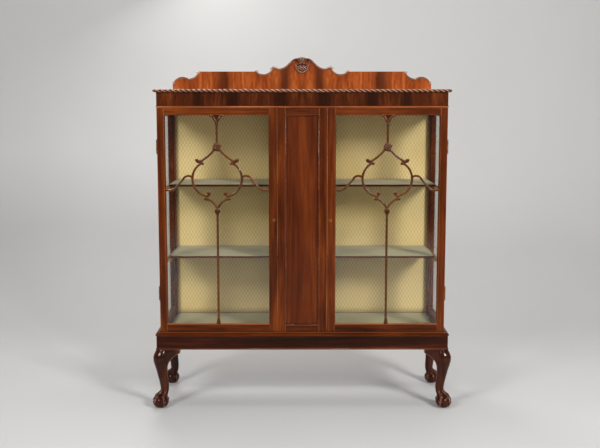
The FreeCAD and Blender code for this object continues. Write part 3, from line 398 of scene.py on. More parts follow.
# %% Glass, metal and pine
MIRROR_POWER, MIRROR_SLANT, MIRROR_STRAIGHT = 5, 0.6, 0.025
BOARD_HEIGHT = 158 * MM
BOARD_SHIFT = (1.7, 0.31)
JOINT_EDGE = (0.006, 0.02)
TARNISH_EDGE = (0.4, 0.66)
TARNISH_SCALE, SCRATCH_SCALE, SCRATCH_STRETCH = 90, 900, 0.08
PINE_SCALE, PINE_STRETCH, PINE_TINT_SCALE = 60, 0.05, 1.3


def sheet_glass(name):
    material, shader, base = new_finish(name)
    clear = base.node("ShaderNodeBsdfTransparent", sockets={"Color": colour(254, 255, 254)})
    gloss = base.node("ShaderNodeBsdfGlossy", sockets={"Color": colour(250, 252, 252), "Roughness": 0.02})
    turned = base.node("ShaderNodeLayerWeight", sockets={"Blend": 0.5}, output="Facing")
    mirror = turned ** MIRROR_POWER * MIRROR_SLANT + MIRROR_STRAIGHT
    show(base, base.node("ShaderNodeMixShader", sockets={0: mirror, 1: clear, 2: gloss}))
    base.tree.nodes.remove(shader)
    return material


def aged_metal(name, bright, tarnished, roughness):
    material, shader, base = new_finish(name)
    place = object_place(base)
    patches = noise(base, place, TARNISH_SCALE, detail=5, roughness=0.6)
    scratches = noise(base, stretched(base, place, "z", SCRATCH_STRETCH), SCRATCH_SCALE)
    metal = blend(base, step(base, patches, *TARNISH_EDGE), bright, tarnished)
    connect(base, shader, metal, patches * 0.25 + scratches * 0.1 + roughness, scratches, 0.05)
    shader.inputs["Metallic"].default_value = 1
    return material


def boarded_pine(name, dark, middle, pale):
    """Wide boards glued edge to edge: each has its own tone and figure, with a dark line at the joint."""
    material, shader, base = new_finish(name)
    place = object_place(base)
    rows = axis_values(base, place)["Z"] / BOARD_HEIGHT
    board = rows.math("FLOOR", rows)
    shift = {"X": board * BOARD_SHIFT[0], "Z": board * BOARD_SHIFT[1]}
    elsewhere = base.node("ShaderNodeCombineXYZ", sockets=shift)
    own_place = base.node("ShaderNodeVectorMath", {"operation": "ADD"}, {0: place, 1: elsewhere})
    long_place = stretched(base, own_place, "x", PINE_STRETCH)
    streak = noise(base, long_place, PINE_SCALE, detail=5, roughness=0.6, distortion=0.5)
    tint = noise(base, elsewhere, PINE_TINT_SCALE)
    joint = 1 - step(base, rows.math("PINGPONG", rows, 0.5) * 2, *JOINT_EDGE)
    wood = ramp(base, streak * 0.65 + tint * 0.35, WOOD_STOPS, (dark, middle, pale))
    boards = blend(base, joint * 0.8, wood, GRIME_AND_SHADE)
    connect(base, shader, boards, streak * 0.15 + 0.55, streak * 0.3 - joint, 0.2)
    return material


glass = sheet_glass("clear_sheet_glass")
brass = aged_metal("worn_brass", colour(158, 118, 62), colour(84, 58, 30), 0.3)
steel = aged_metal("lock_steel_finish", colour(150, 150, 150), colour(88, 84, 80), 0.25)
PINE_COLOURS = (colour(112, 74, 42), colour(146, 102, 60), colour(172, 128, 80))
pine = mahogany("bare_pine", "x", *PINE_COLOURS, gloss=0.6, polish=0)
back_boards = boarded_pine("pine_boards", *PINE_COLOURS)
print("other finishes: glass, brass, steel, pine, back boards")

# %% [markdown]
# A board straight from the saw has perfectly sharp edges, and no furniture does. Each flat piece of the frame
# is copied, its loose triangles are joined again into whole faces, and every sharp edge is rounded by about
# half a millimetre. A Bevel node in the finish would only bend the light. Real rounding also takes the wear,
# which draws the thin bright lines round joinery.

# %% Softened joinery
MERGE = 0.005 * MM
FLAT = radians(1)
POLISHED = "polished_mahogany"


def node_copy(node):
    """A copy of a frame node with its loose triangles joined at their corners."""
    bm = bmesh.new()
    bm.from_mesh(frame["nodes"][node].data)
    bmesh.ops.remove_doubles(bm, verts=bm.verts, dist=MERGE)
    return bm


def mesh_object(bm, name):
    """Turns a finished bmesh into an object of the scene."""
    mesh = bpy.data.meshes.new(name)
    bm.to_mesh(mesh)
    bm.free()
    made = bpy.data.objects.new(name, mesh)
    bpy.context.scene.collection.objects.link(made)
    return made


def piece_from(bm, name, node, slot, finish):
    """Turns a finished bmesh into a piece that rides with the node's body and stands for the node."""
    piece = mesh_object(bm, name)
    piece.data.materials.append(finish)
    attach(piece, frame["nodes"][node]["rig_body"])
    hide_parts(node)
    return piece


def softened(node, slot, finish, width=0.6 * MM, segments=2, sharp=30):
    """A copy of a node with its flat faces made whole and its sharp edges rounded."""
    bm = node_copy(node)
    bmesh.ops.dissolve_limit(bm, angle_limit=FLAT, verts=bm.verts, edges=bm.edges)
    edges = [edge for edge in bm.edges if edge.is_manifold and edge.calc_face_angle() > radians(sharp)]
    for face in bm.faces:
        face.smooth = False
    rounded = bmesh.ops.bevel(bm, geom=edges, offset=width, offset_type="OFFSET", segments=segments,
                              profile=0.5, affect="EDGES", clamp_overlap=True, material=-1)
    wear_and_painted_light = bm.loops.layers.float.new("wear_and_painted_light")
    for face in rounded["faces"]:
        face.smooth = True
        for loop in face.loops:
            loop[wear_and_painted_light] = 1
    piece_from(bm, node + "_softened", node, slot, finish)


BOARDS = (
    (POLISHED, case_wood["z"], ("front_posts", "rear_posts", "centre_stiles")),
    (POLISHED, case_wood["z"], ("left_hinge_stile", "left_lock_stile")),
    (POLISHED, case_wood["z"], ("right_hinge_stile", "right_lock_stile")),
    (POLISHED, case_wood["x"], ("floor_board", "top_board", "centre_rails")),
    (POLISHED, case_wood["x"], ("left_door_rails", "right_door_rails")),
    (POLISHED, case_wood["y"], ("side_rails", "side_glazing_beads")),
    (POLISHED, panel_wood, ("centre_panel",)),
    (POLISHED, case_wood["z"], ("left_glazing_beads", "right_glazing_beads")),
    ("flame_mahogany", flame, ("pediment_board",)),
    ("flame_mahogany", front_flame, ("front_frieze",)),
    ("flame_mahogany", side_flame, ("side_friezes",)),
    (POLISHED, stand_wood["x"], ("lower_shelf", "upper_shelf")),
    ("dark_mahogany", stand_wood["x"], ("front_apron", "rear_apron")),
    ("dark_mahogany", stand_wood["y"], ("side_aprons",)),
    ("carcase_pine", pine, ("ceiling_board", "rear_frieze", "shelf_bearers")),
    ("carcase_pine", back_boards, ("back_panel",)),
)
for slot, finish, nodes in BOARDS:
    for node in nodes:
        softened(node, slot, finish)

# %% [markdown]
# Turned or filed metal and plain glass need no new shape, so those nodes stay and only get a better finish.

# %% Kept nodes
kept = {"hinge_pins": brass, "carcase_hinge_leaves": brass}
for side in ("left", "right"):
    kept.update({side + "_hinge_leaves": brass, side + "_lock": brass, side + "_lock_bolt": steel})
    kept.update({side + "_side_glass": glass, side + "_door_glass": glass})
for node, finish in kept.items():
    frame["nodes"][node].data.materials.clear()
    frame["nodes"][node].data.materials.append(finish)
print("nodes kept with a new finish:", len(kept))

# %% [markdown]
# Mouldings are one profile run round the case and mitred at the corners. A curve with a bevel object would
# pinch there. Here the profile is a ring of vertices that remember how far they stand out. Each extrusion
# carries that number along, so placing the new ring at the next corner makes the mitre by itself.

# %% Mitred mouldings
PROFILE_STEPS = 8


def arc(centre_out, centre_up, radius_out, radius_up, start, end, count=PROFILE_STEPS):
    """Points of an elliptical arc in a profile, as (out, up), with angles in degrees from straight out."""
    points = []
    for number in range(count + 1):
        angle = radians(start + (end - start) * number / count)
        points.append((centre_out + radius_out * cos(angle), centre_up + radius_up * sin(angle)))
    return points


def extruded(bm, edges):
    """Extrudes edges, and gives the new edges and the new vertices."""
    made = bmesh.ops.extrude_edge_only(bm, edges=edges)["geom"]
    kinds = (bmesh.types.BMEdge, bmesh.types.BMVert)
    return [[item for item in made if isinstance(item, kind)] for kind in kinds]


def moulding(profile, corners, rise, closed=False):
    """Runs a closed profile through the corners, each a base point and the direction that counts as out."""
    bm = bmesh.new()
    out = bm.verts.layers.float.new("out")
    up = bm.verts.layers.float.new("up")

    def settle(verts, corner):
        base, outward = corner
        for vert in verts:
            vert.co = Vector(base) + Vector(outward) * vert[out] + Vector(rise) * vert[up]

    ring = []
    for point in profile:
        vert = bm.verts.new()
        vert[out], vert[up] = point
        ring.append(vert)
    edges = [bm.edges.new((ring[i - 1], ring[i])) for i in range(len(ring))]
    settle(ring, corners[0])
    for corner in corners[1:] + (corners[:1] if closed else []):
        edges, verts = extruded(bm, edges)
        settle(verts, corner)
    if closed:
        bmesh.ops.remove_doubles(bm, verts=bm.verts, dist=MERGE)
    else:
        bmesh.ops.holes_fill(bm, edges=[edge for edge in bm.edges if edge.is_boundary])
    bmesh.ops.recalc_face_normals(bm, faces=bm.faces)
    for face in bm.faces:
        face.smooth = len(face.verts) == 4
    return bm


def round_case(low, high, inner_out):
    """The four stations of a moulding round the front and both sides, inner_out inside the node's box."""
    left, right = low[0] + inner_out, high[0] - inner_out
    front, back = low[1] + inner_out, high[1]
    return [((left, back, 0), (-1, 0, 0)), ((left, front, 0), (-1, -1, 0)),
            ((right, front, 0), (1, -1, 0)), ((right, back, 0), (1, 0, 0))]


def run_round_case(node, finish, profile, inner_out):
    low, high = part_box(node)
    bm = moulding(profile, round_case(low, high, inner_out), (0, 0, 1))
    piece_from(bm, node + "_run", node, POLISHED, finish)


BASE_REACH = 20 * MM
NOSE_OUT, NOSE_UP = 0.62, 0.3
NECK_OUT, NECK_UP = 0.6, 0.72
BROW_OUT = 0.25
BEAD_TURN = 80

base_low, base_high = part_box("base_moulding")
base_tall = base_high[2] - base_low[2]
nose_start = BASE_REACH * NOSE_OUT
nose_middle = base_low[2] + base_tall * NOSE_UP
base_profile = [(0, base_low[2]), (nose_start, base_low[2])]
nose_reach = BASE_REACH - nose_start
base_profile += arc(nose_start, nose_middle, nose_reach, base_tall * NOSE_UP, -90, 60)
base_profile += [(BASE_REACH * NECK_OUT, base_low[2] + base_tall * NECK_UP)]
base_profile += [(BASE_REACH * BROW_OUT, base_high[2]), (0, base_high[2])]
run_round_case("base_moulding", case_wood["x"], base_profile, BASE_REACH)
for name, finish in (("frieze", worn_and_lit_bead_wood), ("apron", low_worn_and_lit_bead_wood)):
    node = name + "_bead"
    low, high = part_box(node)
    half = (high[2] - low[2]) / 2
    middle = (high[2] + low[2]) / 2
    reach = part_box("front_" + name)[0][1] - low[1]
    bead = [(-half, low[2]), (reach - half, low[2])]
    bead += arc(reach - half, middle, half, half, -BEAD_TURN, BEAD_TURN)
    bead += [(reach - half, high[2]), (-half, high[2])]
    run_round_case(node, finish, bead, reach)
print("base moulding reaches", round(BASE_REACH / MM, 1), "mm")

# %% [markdown]
# The fixed panel is framed by a small round bead. The same helper makes it as one closed run, with out
# pointing in towards the panel and rise pointing at the viewer.

# %% Bead round the centre panel
def frame_corners(low, high):
    """The four corners at the back of an upright box, with out pointing in from its edges."""
    back = high[1]
    return [((low[0], back, low[2]), (1, 0, 1)), ((high[0], back, low[2]), (-1, 0, 1)),
            ((high[0], back, high[2]), (-1, 0, -1)), ((low[0], back, high[2]), (1, 0, -1))]


BEAD_WIDE = 6 * MM
BEAD_SIDE, BEAD_CROWN, BEAD_INNER = 0.6, 0.4, 0.5
BEAD_HALF = 0.42

bead_low, bead_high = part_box("centre_bead")
bead_deep = bead_high[1] - bead_low[1]
bead_side = bead_deep * BEAD_SIDE
bead_profile = [(0, 0), (0, bead_side)]
bead_half, bead_crown = BEAD_WIDE * BEAD_HALF, bead_deep * BEAD_CROWN
bead_profile += arc(BEAD_WIDE / 2, bead_side, bead_half, bead_crown, 170, 10)
bead_profile += [(BEAD_WIDE, bead_deep * BEAD_INNER), (BEAD_WIDE, 0)]
centre_bead = moulding(bead_profile, frame_corners(bead_low, bead_high), (0, -1, 0), closed=True)
piece_from(centre_bead, "centre_bead_run", "centre_bead", POLISHED, lip_wood)
print("centre bead stands", round(bead_deep / MM, 1), "mm above the panel")

# %% [markdown]
# The cloth linings are glued to their boards, and each is made as a thin sheet of the size that it was cut
# to.
# Each is a fine grid, waved by a fraction of a millimetre as glued cloth is. A cloth simulation would settle
# into the same flat sheet, so two crossing sine waves do instead.

# %% Linings
CLOTH = 0.5 * MM
CLOTH_COLUMNS, CLOTH_ROWS = 60, 30
CLOTH_WAVE = 0.1 * MM
FIRST_WAVE, SECOND_WAVE = (40, 9), (5, 31)


def lining(name, node, low, high, flat_axis, finish, carrier):
    """A sheet of damask over the box from low to high, thin along flat_axis."""
    spread = [axis for axis in range(3) if axis != flat_axis]
    size = [high[axis] - low[axis] for axis in spread]
    bm = bmesh.new()
    bmesh.ops.create_grid(bm, x_segments=CLOTH_COLUMNS, y_segments=CLOTH_ROWS, size=0.5)
    for vert in bm.verts:
        place = [0, 0, 0]
        across, along = vert.co.x + 0.5, vert.co.y + 0.5
        place[spread[0]] = low[spread[0]] + size[0] * across
        place[spread[1]] = low[spread[1]] + size[1] * along
        waves = [sin(across * turns[0] + along * turns[1]) for turns in (FIRST_WAVE, SECOND_WAVE)]
        place[flat_axis] = (low[flat_axis] + high[flat_axis]) / 2 + waves[0] * waves[1] * CLOTH_WAVE
        vert.co = place
    for face in bm.faces:
        face.smooth = True
    bmesh.ops.recalc_face_normals(bm, faces=bm.faces)
    sheet = piece_from(bm, name, node, "damask_lining", finish)
    thickness = sheet.modifiers.new("cloth thickness", "SOLIDIFY")
    thickness.thickness = CLOTH
    thickness.offset = 0
    "laid" if flat_axis == 2 else "stretched"
    print(name, "is cut", [round(length, 3) for length in size])


lining("back_cloth", "back_lining", *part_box("back_lining"), 1, wall_cloth, "back_panel")
lining("floor_cloth", "floor_lining", *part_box("floor_lining"), 2, shaded_tinted_shelf_cloth, "floor_board")
cloth_low, cloth_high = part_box("shelf_linings")
for shelf in ("lower_shelf", "upper_shelf"):
    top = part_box(shelf)[1][2]
    low, high = (cloth_low[0], cloth_low[1], top), (cloth_high[0], cloth_high[1], top + MM)
    lining(shelf + "_cloth", "shelf_linings", low, high, 2, shaded_tinted_shelf_cloth, shelf)

# %% [markdown]
# Carved pieces start from the frame's own solids and a few added lumps. Sculpting by hand could not be
# written down, and joining lumps with Booleans leaves hard seams. A fine voxel remesh melts them into one
# skin, and rounds of smoothing take off the edges that a carver would scrape away. The result is read back,
# so that one carved leg can be mirrored to the other three corners.

# %% Melting lumps into one skin
# Raised skin is painted paler, as rubbed wear and a painted highlight; sunken skin is painted darker, as old
# polish and painted shade.
WEAR_AND_LIGHT_HEIGHT = 0.12 * MM
FINE_WEAR_AND_LIGHT_HEIGHT = 0.06 * MM
WEAR_AND_LIGHT_START = 0.3
GRIME_AND_SHADE_SHARE = 0.8
SCRAPE = 0.5
RING_SIDES = 20
STEM_STEPS = 5


def melted(bm, voxel, rounds, wear_and_light_height=WEAR_AND_LIGHT_HEIGHT):
    """The overlapping closed lumps of a bmesh as one smooth skin."""
    lumps = mesh_object(bm, "lumps")
    skin = lumps.modifiers.new("one skin", "REMESH")
    skin.voxel_size = voxel
    scrape = lumps.modifiers.new("scraped", "SMOOTH")
    scrape.iterations = rounds
    scrape.factor = SCRAPE
    ready = lumps.evaluated_get(bpy.context.evaluated_depsgraph_get())
    made = bmesh.new()
    made.from_mesh(ready.to_mesh())
    mesh = lumps.data
    bpy.data.objects.remove(lumps)
    bpy.data.meshes.remove(mesh)
    for face in made.faces:
        face.smooth = True
    paint_wear_and_light(made, wear_and_light_height)
    return made


def paint_wear_and_light(bm, wear_and_light_height):
    """Gives each vertex a number for paler and darker paint: above zero by how far it stands above its
    neighbours, for rubbed wear and a painted highlight, and below zero by how deep it lies, for old polish
    and painted shade.
    """
    wear_and_painted_light = bm.verts.layers.float.new("wear_and_painted_light")
    for vert in bm.verts:
        others = [edge.other_vert(vert).co for edge in vert.link_edges]
        around = sum(others, Vector()) / len(others)
        height = (vert.co - around).dot(vert.normal) / wear_and_light_height
        vert[wear_and_painted_light] = max(min(height - WEAR_AND_LIGHT_START, 1), 0) + min(max(height * GRIME_AND_SHADE_SHARE, -1), 0)


def lump(bm, centre, radii, turn=0, detail=12):
    """An egg-shaped lump, turned about the Y axis."""
    place = Matrix.Translation(centre) @ Matrix.Rotation(turn, 4, "Y") @ Matrix.Diagonal((*radii, 1))
    bmesh.ops.create_uvsphere(bm, u_segments=detail, v_segments=detail, radius=1, matrix=place)


def ring_skin(bm, rings):
    """A closed skin through round rings, each a centre, a direction and a radius."""
    loops = []
    for centre, along, radius in rings:
        place = Matrix.Translation(centre) @ Vector(along).to_track_quat("Z", "Y").to_matrix().to_4x4()
        verts = bmesh.ops.create_circle(bm, segments=RING_SIDES, radius=radius, matrix=place)["verts"]
        loops.append(list({edge for vert in verts for edge in vert.link_edges}))
    for first, second in zip(loops, loops[1:]):
        bmesh.ops.bridge_loops(bm, edges=first + second)
    bmesh.ops.holes_fill(bm, edges=loops[0])
    bmesh.ops.holes_fill(bm, edges=loops[-1])


def smooth_course(stations, steps):
    """Values between stations on a curve that passes through every one of them."""
    course = []
    for index in range(len(stations) - 1):
        near = [Vector(stations[min(max(index + shift, 0), len(stations) - 1)]) for shift in (-1, 0, 1, 2)]
        for number in range(steps):
            share = number / steps
            slope_in = (near[2] - near[0]) / 2
            slope_out = (near[3] - near[1]) / 2
            gap = near[2] - near[1]
            bend = slope_in * share + (gap * 3 - slope_in * 2 - slope_out) * share ** 2
            course.append(near[1] + bend + (slope_in + slope_out - gap * 2) * share ** 3)
    return course + [Vector(stations[-1])]


def rings_along(spots, radii):
    """Rings round a course of spots, each square to the way from the spot before it to the spot after."""
    rings = []
    for number, spot in enumerate(spots):
        ahead = spots[min(number + 1, len(spots) - 1)] - spots[max(number - 1, 0)]
        rings.append((spot, ahead, radii[number]))
    return rings


def stem(bm, origin, across, stations):
    """A carved stem through stations, each a distance out to one side, a rise and a radius in millimetres."""
    course = smooth_course(stations, STEM_STEPS)
    spots = [origin + Vector((across * out, 0, rise)) * MM for out, rise, radius in course]
    ring_skin(bm, rings_along(spots, [radius * MM for out, rise, radius in course]))


print("melting ready")

# %% [markdown]
# Each leg is a cabriole: it swells at the knee, thins to the ankle and ends in a claw that grips a ball.
# The shaft is a skin through rings. Each toe is a skin too, whose rings swell at the knuckles and shrink to a
# talon. After the melting the foot is spread a little, because a carver leaves it wider than the shaft asks.

# %% Claw-and-ball legs
# Height, radius and inset from the corner, in millimetres
LEG_STATIONS = ((253, 25, 23), (213, 31, 14), (149, 22.5, 20), (80, 18, 28), (46, 18, 20))
LEG_STEPS = 9
LEG_VOXEL, LEG_ROUNDS = 1.3 * MM, 3
BALL_RADIUS = 30 * MM
BALL_HEIGHT = 27 * MM
FOOT_INSET = 13 * MM
FOOT_BEARING = -45
TENDON_TOP = (72, 28)
TENDON_OUT = 13 * MM
TENDON_STEPS = 6
TOE_RADIUS = 6.2 * MM
TOE_BEARINGS = (0, 75, -75, 180)
TOE_BEND, TOE_END = 46, 132
TOE_STEPS = 17
TOE_LIFT = 1 * MM
TOE_WAIST, TOE_SWELL = 0.72, 0.4
KNUCKLES = ((0.27, 0.07), (0.6, 0.08))
TALON_START, TALON_THIN = 0.68, 0.72
FOOT_TOP = 62 * MM
FOOT_RISE = 30 * MM
FOOT_SPREAD = 0.1

corner_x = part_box("front_apron")[1][0]
corner_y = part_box("front_apron")[0][1]


def corner_place(height, inset):
    """A point that far in from the stand's front right corner, both ways, at a height above the floor."""
    return Vector((corner_x - inset * MM, corner_y + inset * MM, height * MM))


def leg_lumps():
    """The front right leg as overlapping lumps: shaft, ball, toes and knee brackets."""
    bm = node_copy("knee_brackets")
    middles = {face: face.calc_center_median() for face in bm.faces}
    others = [face for face, centre in middles.items() if centre.x < 0 or centre.y > 0]
    bmesh.ops.delete(bm, geom=others, context="FACES")
    rings = []
    for height, radius, inset in smooth_course(LEG_STATIONS, LEG_STEPS):
        rings.append((corner_place(height, inset), (0, 0, 1), radius * MM))
    ring_skin(bm, rings)
    foot = corner_place(BALL_HEIGHT / MM, FOOT_INSET / MM)
    ball = Matrix.Translation(foot)
    bmesh.ops.create_uvsphere(bm, u_segments=32, v_segments=20, radius=BALL_RADIUS, matrix=ball)
    for bearing in TOE_BEARINGS:
        ring_skin(bm, toe_rings(foot, radians(bearing + FOOT_BEARING)))
    return bm


def toe_rings(foot, bearing):
    """Rings down a tendon from the ankle and on over the ball, past two knuckles to the talon."""
    outward = Vector((cos(bearing), sin(bearing), 0))
    start = corner_place(*TENDON_TOP) + outward * TENDON_OUT
    spots = []
    for number in range(TOE_STEPS + 1):
        angle = radians(TOE_BEND + (TOE_END - TOE_BEND) * number / TOE_STEPS)
        spots.append(foot + (outward * sin(angle) + Vector((0, 0, cos(angle)))) * (BALL_RADIUS + TOE_LIFT))
    spots = [start.lerp(spots[0], number / TENDON_STEPS) for number in range(TENDON_STEPS)] + spots
    radii = []
    for number in range(len(spots)):
        share = number / (len(spots) - 1)
        swell = sum(exp(-((share - knuckle) / width) ** 2) for knuckle, width in KNUCKLES)
        radius = TOE_RADIUS * (TOE_WAIST + TOE_SWELL * swell)
        if share > TALON_START:
            radius *= 1 - TALON_THIN * (share - TALON_START) / (1 - TALON_START)
        radii.append(radius)
    return rings_along(spots, radii)


leg_master = melted(leg_lumps(), LEG_VOXEL, LEG_ROUNDS)
for vert in leg_master.verts:
    vert.co.z = max(vert.co.z, 0)
    share = min(max((FOOT_TOP - vert.co.z) / FOOT_RISE, 0), 1)
    apart = (vert.co - corner_place(0, FOOT_INSET / MM)) * Vector((1, 1, 0))
    vert.co += apart * FOOT_SPREAD * share * share * (3 - 2 * share)
for leg in ("front_right_leg", "front_left_leg", "rear_right_leg", "rear_left_leg"):
    turned = leg_master.copy()
    across = -1 if "left" in leg else 1
    along = -1 if "rear" in leg else 1
    bmesh.ops.scale(turned, vec=(across, along, 1), verts=turned.verts)
    if across != along:
        bmesh.ops.reverse_faces(turned, faces=turned.faces)
    piece = piece_from(turned, leg + "_carved", leg, "dark_mahogany", leg_wood)
    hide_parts("knee_brackets")
print("faces in one leg:", len(leg_master.faces))
leg_master.free()

# %% [markdown]
# The tracery in front of each pane starts from the frame's lattice. Petals on the rosette, two leaves that
# curl out under the top rail and small leaves on the scrolls are added before it is melted, which also rounds
# its flat bars. Their upper sides are painted paler than the rest, a painted highlight of the light from
# above.

# %% Tracery
# Distance out to the side, drop from the top and distance forward of a lump, then three radii, in millimetres
ROSETTE_DROP = 134 * MM
ROSETTE_EYE = ((0, 134, 2), (4.5, 3.5, 4.5))
PETALS = 8
LONG_PETAL, SHORT_PETAL = 18 * MM, 14 * MM
PETAL_SEAT, PETAL_HALF = 0.64, 0.5
PETAL_DEEP, PETAL_WIDE = 4.6 * MM, 4.4 * MM
BOSS = ((0, 399, 0), (10, 4.5, 14))
SCROLLS = ((82, 187), (61, 201), (34, 324), (47, 348))
SCROLL_LEAF = (8.5, 4.2, 5.4)
SCROLL_LEAN = radians(-15)
SHOULDER_LEAF = ((72, 193, 0), (12, 3, 5))
SHOULDER_LEAN = radians(18)
BUD_LEAF = ((0, -40, 3), (4, -30, 4), (10, -17, 4.2), (18, -7.5, 3.6), (25, -5, 2.8), (29, -8, 2))
BUD_BACK = ((0, 14, -1), (11, 2.5, 14))
BUD_KNOB = ((0, 41, 1), (6, 4.5, 7))
TRACERY_FACE = 2 * MM
TRACERY_VOXEL, TRACERY_ROUNDS = 0.85 * MM, 2
SWELL = 0.5 * MM
TOP_PAINTED_HIGHLIGHT = 0.65


def hung_lump(bm, top, place, radii, across=1, lean=0, detail=12):
    """A lump hung below a point, on the side that across gives."""
    out, drop, forward = place
    centre = top + Vector((across * out, -forward, -drop)) * MM
    lump(bm, centre, Vector(radii) * MM, across * lean, detail)


def tracery(side):
    node = side + "_tracery"
    low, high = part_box(node)
    top = Vector(((low[0] + high[0]) / 2, low[1] + TRACERY_FACE, high[2]))
    bm = node_copy(node)
    rosette = top - Vector((0, 0, ROSETTE_DROP))
    for petal in range(PETALS):
        turn = 2 * pi * (petal + 0.5) / PETALS
        length = LONG_PETAL if petal % 2 else SHORT_PETAL
        tip = Vector((cos(turn), 0, -sin(turn))) * length
        lump(bm, rosette + tip * PETAL_SEAT, (length * PETAL_HALF, PETAL_DEEP, PETAL_WIDE), turn)
    hung_lump(bm, top, *ROSETTE_EYE)
    hung_lump(bm, top, *BOSS)
    for across in (-1, 1):
        for out, drop in SCROLLS:
            hung_lump(bm, top, (out, drop, 0), SCROLL_LEAF, across, SCROLL_LEAN)
        hung_lump(bm, top, *SHOULDER_LEAF, across, SHOULDER_LEAN)
        stem(bm, top + Vector((0, -MM, 0)), across, BUD_LEAF)
    hung_lump(bm, top, *BUD_BACK)
    hung_lump(bm, top, *BUD_KNOB)
    carved = melted(bm, TRACERY_VOXEL, TRACERY_ROUNDS)
    wear_and_painted_light = carved.verts.layers.float["wear_and_painted_light"]
    # Skin that faces up is painted paler the more it faces up: a painted highlight.
    for vert in carved.verts:
        if vert.normal.z > 0:
            vert[wear_and_painted_light] = max(vert[wear_and_painted_light], vert.normal.z * TOP_PAINTED_HIGHLIGHT)
        swollen = vert.co + vert.normal * SWELL
        if low[0] < swollen.x < high[0] and low[2] < swollen.z < high[2]:
            vert.co = swollen
    return piece_from(carved, node + "_carved", node, POLISHED, carved_wood)


for side in ("left", "right"):
    print(side, "tracery faces:", len(tracery(side).data.polygons))

# %% [markdown]
# Along the top of the back board runs a carved lip that ends in small leaves. In the middle the two lips roll
# over and down, with a fan of leaves between them and a scallop shell with a beaded rim below. Each rib and
# bead is an egg-shaped lump before the melting, and the lips are swollen a little to round them.

# %% Pediment carving
top_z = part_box("top_board")[1][2]
# Distance out to the side, rise above the top and size of each leaf, in millimetres
LIP_LEAVES = ((201, 84, 5), (113, 97, 5), (124, 100, 6), (134, 96, 4.5), (459, 78, 5), (569, 33, 4.5),
              (501, 50, 4))
LEAF_LONG, LEAF_TALL, LEAF_DEEP = 1.5, 0.7, 9 * MM
LEAF_FORWARD, LEAF_SINK = 4 * MM, 2 * MM
LEAF_LEAN = radians(-25)
LIP_VOXEL, SHELL_VOXEL, PEDIMENT_ROUNDS = 0.95 * MM, 0.7 * MM, 2
LIP_SWELL = 1.2 * MM
LIP_ROLL = ((56, -26, 1.6), (44, -17.5, 3.4), (33, -11, 4.2), (23, -9.5, 4.4), (13, -17, 4), (8, -26, 4.2),
            (5, -32, 3))
ROLL_EYE = ((9, 27, 1), (5, 5, 5))
SHELL_PROUD = 3 * MM
SHELL_BODY = ((0, 44, -5), (27, 4, 22))
SHELL_HINGE_DROP = 36 * MM
SHELL_RIBS, RIB_START, RIB_TURN = 7, 18, 144
RIB_OUT, RIB_BACK, RIB_RADII = 14 * MM, 2 * MM, (12 * MM, 3.6 * MM, 2.3 * MM)
SHELL_BEADS, RIM_WIDE, RIM_TALL = 15, 27, 30
BEAD_RADII = (3.1 * MM, 4.5 * MM, 3.1 * MM)
FAN_LEAVES, FAN_TURN = 5, 15
FAN_OUT, FAN_BACK, FAN_RADII = 19 * MM, 1 * MM, (15 * MM, 4 * MM, 3 * MM)

lip_low, lip_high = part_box("pediment_lips")
lip_bm = node_copy("pediment_lips")
leaf_depth = (lip_low[1] + lip_high[1]) / 2 - LEAF_FORWARD
for out, rise, size in LIP_LEAVES:
    for across in (-1, 1):
        centre = (across * out * MM, leaf_depth, top_z + rise * MM - LEAF_SINK)
        lump(lip_bm, centre, (size * LEAF_LONG * MM, LEAF_DEEP, size * LEAF_TALL * MM), across * LEAF_LEAN)
lips = melted(lip_bm, LIP_VOXEL, PEDIMENT_ROUNDS, FINE_WEAR_AND_LIGHT_HEIGHT)
for vert in lips.verts:
    vert.co += vert.normal * LIP_SWELL
piece_from(lips, "pediment_lips_carved", "pediment_lips", POLISHED, shell_wood)

shell_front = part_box("pediment_shell")[0][1]
crest = Vector((0, shell_front + SHELL_PROUD, lip_high[2]))
hinge = crest - Vector((0, 0, SHELL_HINGE_DROP))
shell_bm = bmesh.new()


def ray_lump(turn, out, back, radii):
    """A lump on a ray from the shell's hinge, turned along the ray."""
    lump(shell_bm, hinge + Vector((cos(turn) * out, back, -sin(turn) * out)), radii, turn)


hung_lump(shell_bm, crest, *SHELL_BODY, detail=24)
for rib in range(SHELL_RIBS):
    ray_lump(radians(RIB_START + RIB_TURN * rib / (SHELL_RIBS - 1)), RIB_OUT, RIB_BACK, RIB_RADII)
for bead in range(SHELL_BEADS):
    turn = radians(180 * bead / (SHELL_BEADS - 1))
    aim = Vector((cos(turn) * RIM_WIDE, 0, -sin(turn) * RIM_TALL)) * MM
    lump(shell_bm, hinge + aim, BEAD_RADII)
for leaf in range(FAN_LEAVES):
    ray_lump(radians(-90 + FAN_TURN * (leaf - (FAN_LEAVES - 1) / 2)), FAN_OUT, FAN_BACK, FAN_RADII)
for across in (-1, 1):
    stem(shell_bm, crest, across, LIP_ROLL)
    hung_lump(shell_bm, crest, *ROLL_EYE, across)
shell = melted(shell_bm, SHELL_VOXEL, PEDIMENT_ROUNDS, FINE_WEAR_AND_LIGHT_HEIGHT)
piece_from(shell, "pediment_shell_carved", "pediment_shell", POLISHED, shell_wood)
print("shell ribs, beads and leaves:", SHELL_RIBS + SHELL_BEADS + FAN_LEAVES)

# %% [markdown]
# A rope moulding edges the top. Strands wound round each other would hide most of their faces in the board,
# so it is a grid bent round a half circle, whose radius rises and falls in slanting lobes. The lobes are
# counted along the whole run, so the twist goes on round the corners.

# %% Rope moulding
ROPE_PITCH = 21 * MM
ROPE_LEAN = 1.3
ROPE_ROWS = 18
ROPE_STEPS = 13
LOBE_POWER = 0.7
ROPE_CORE = 0.45
ROPE_WEAR_AND_HIGHLIGHT, ROPE_WEAR_AND_HIGHLIGHT_START = 1.4, 0.6
ROPE_GRIME_AND_SHADE, ROPE_GRIME_AND_SHADE_START = 2, 0.5


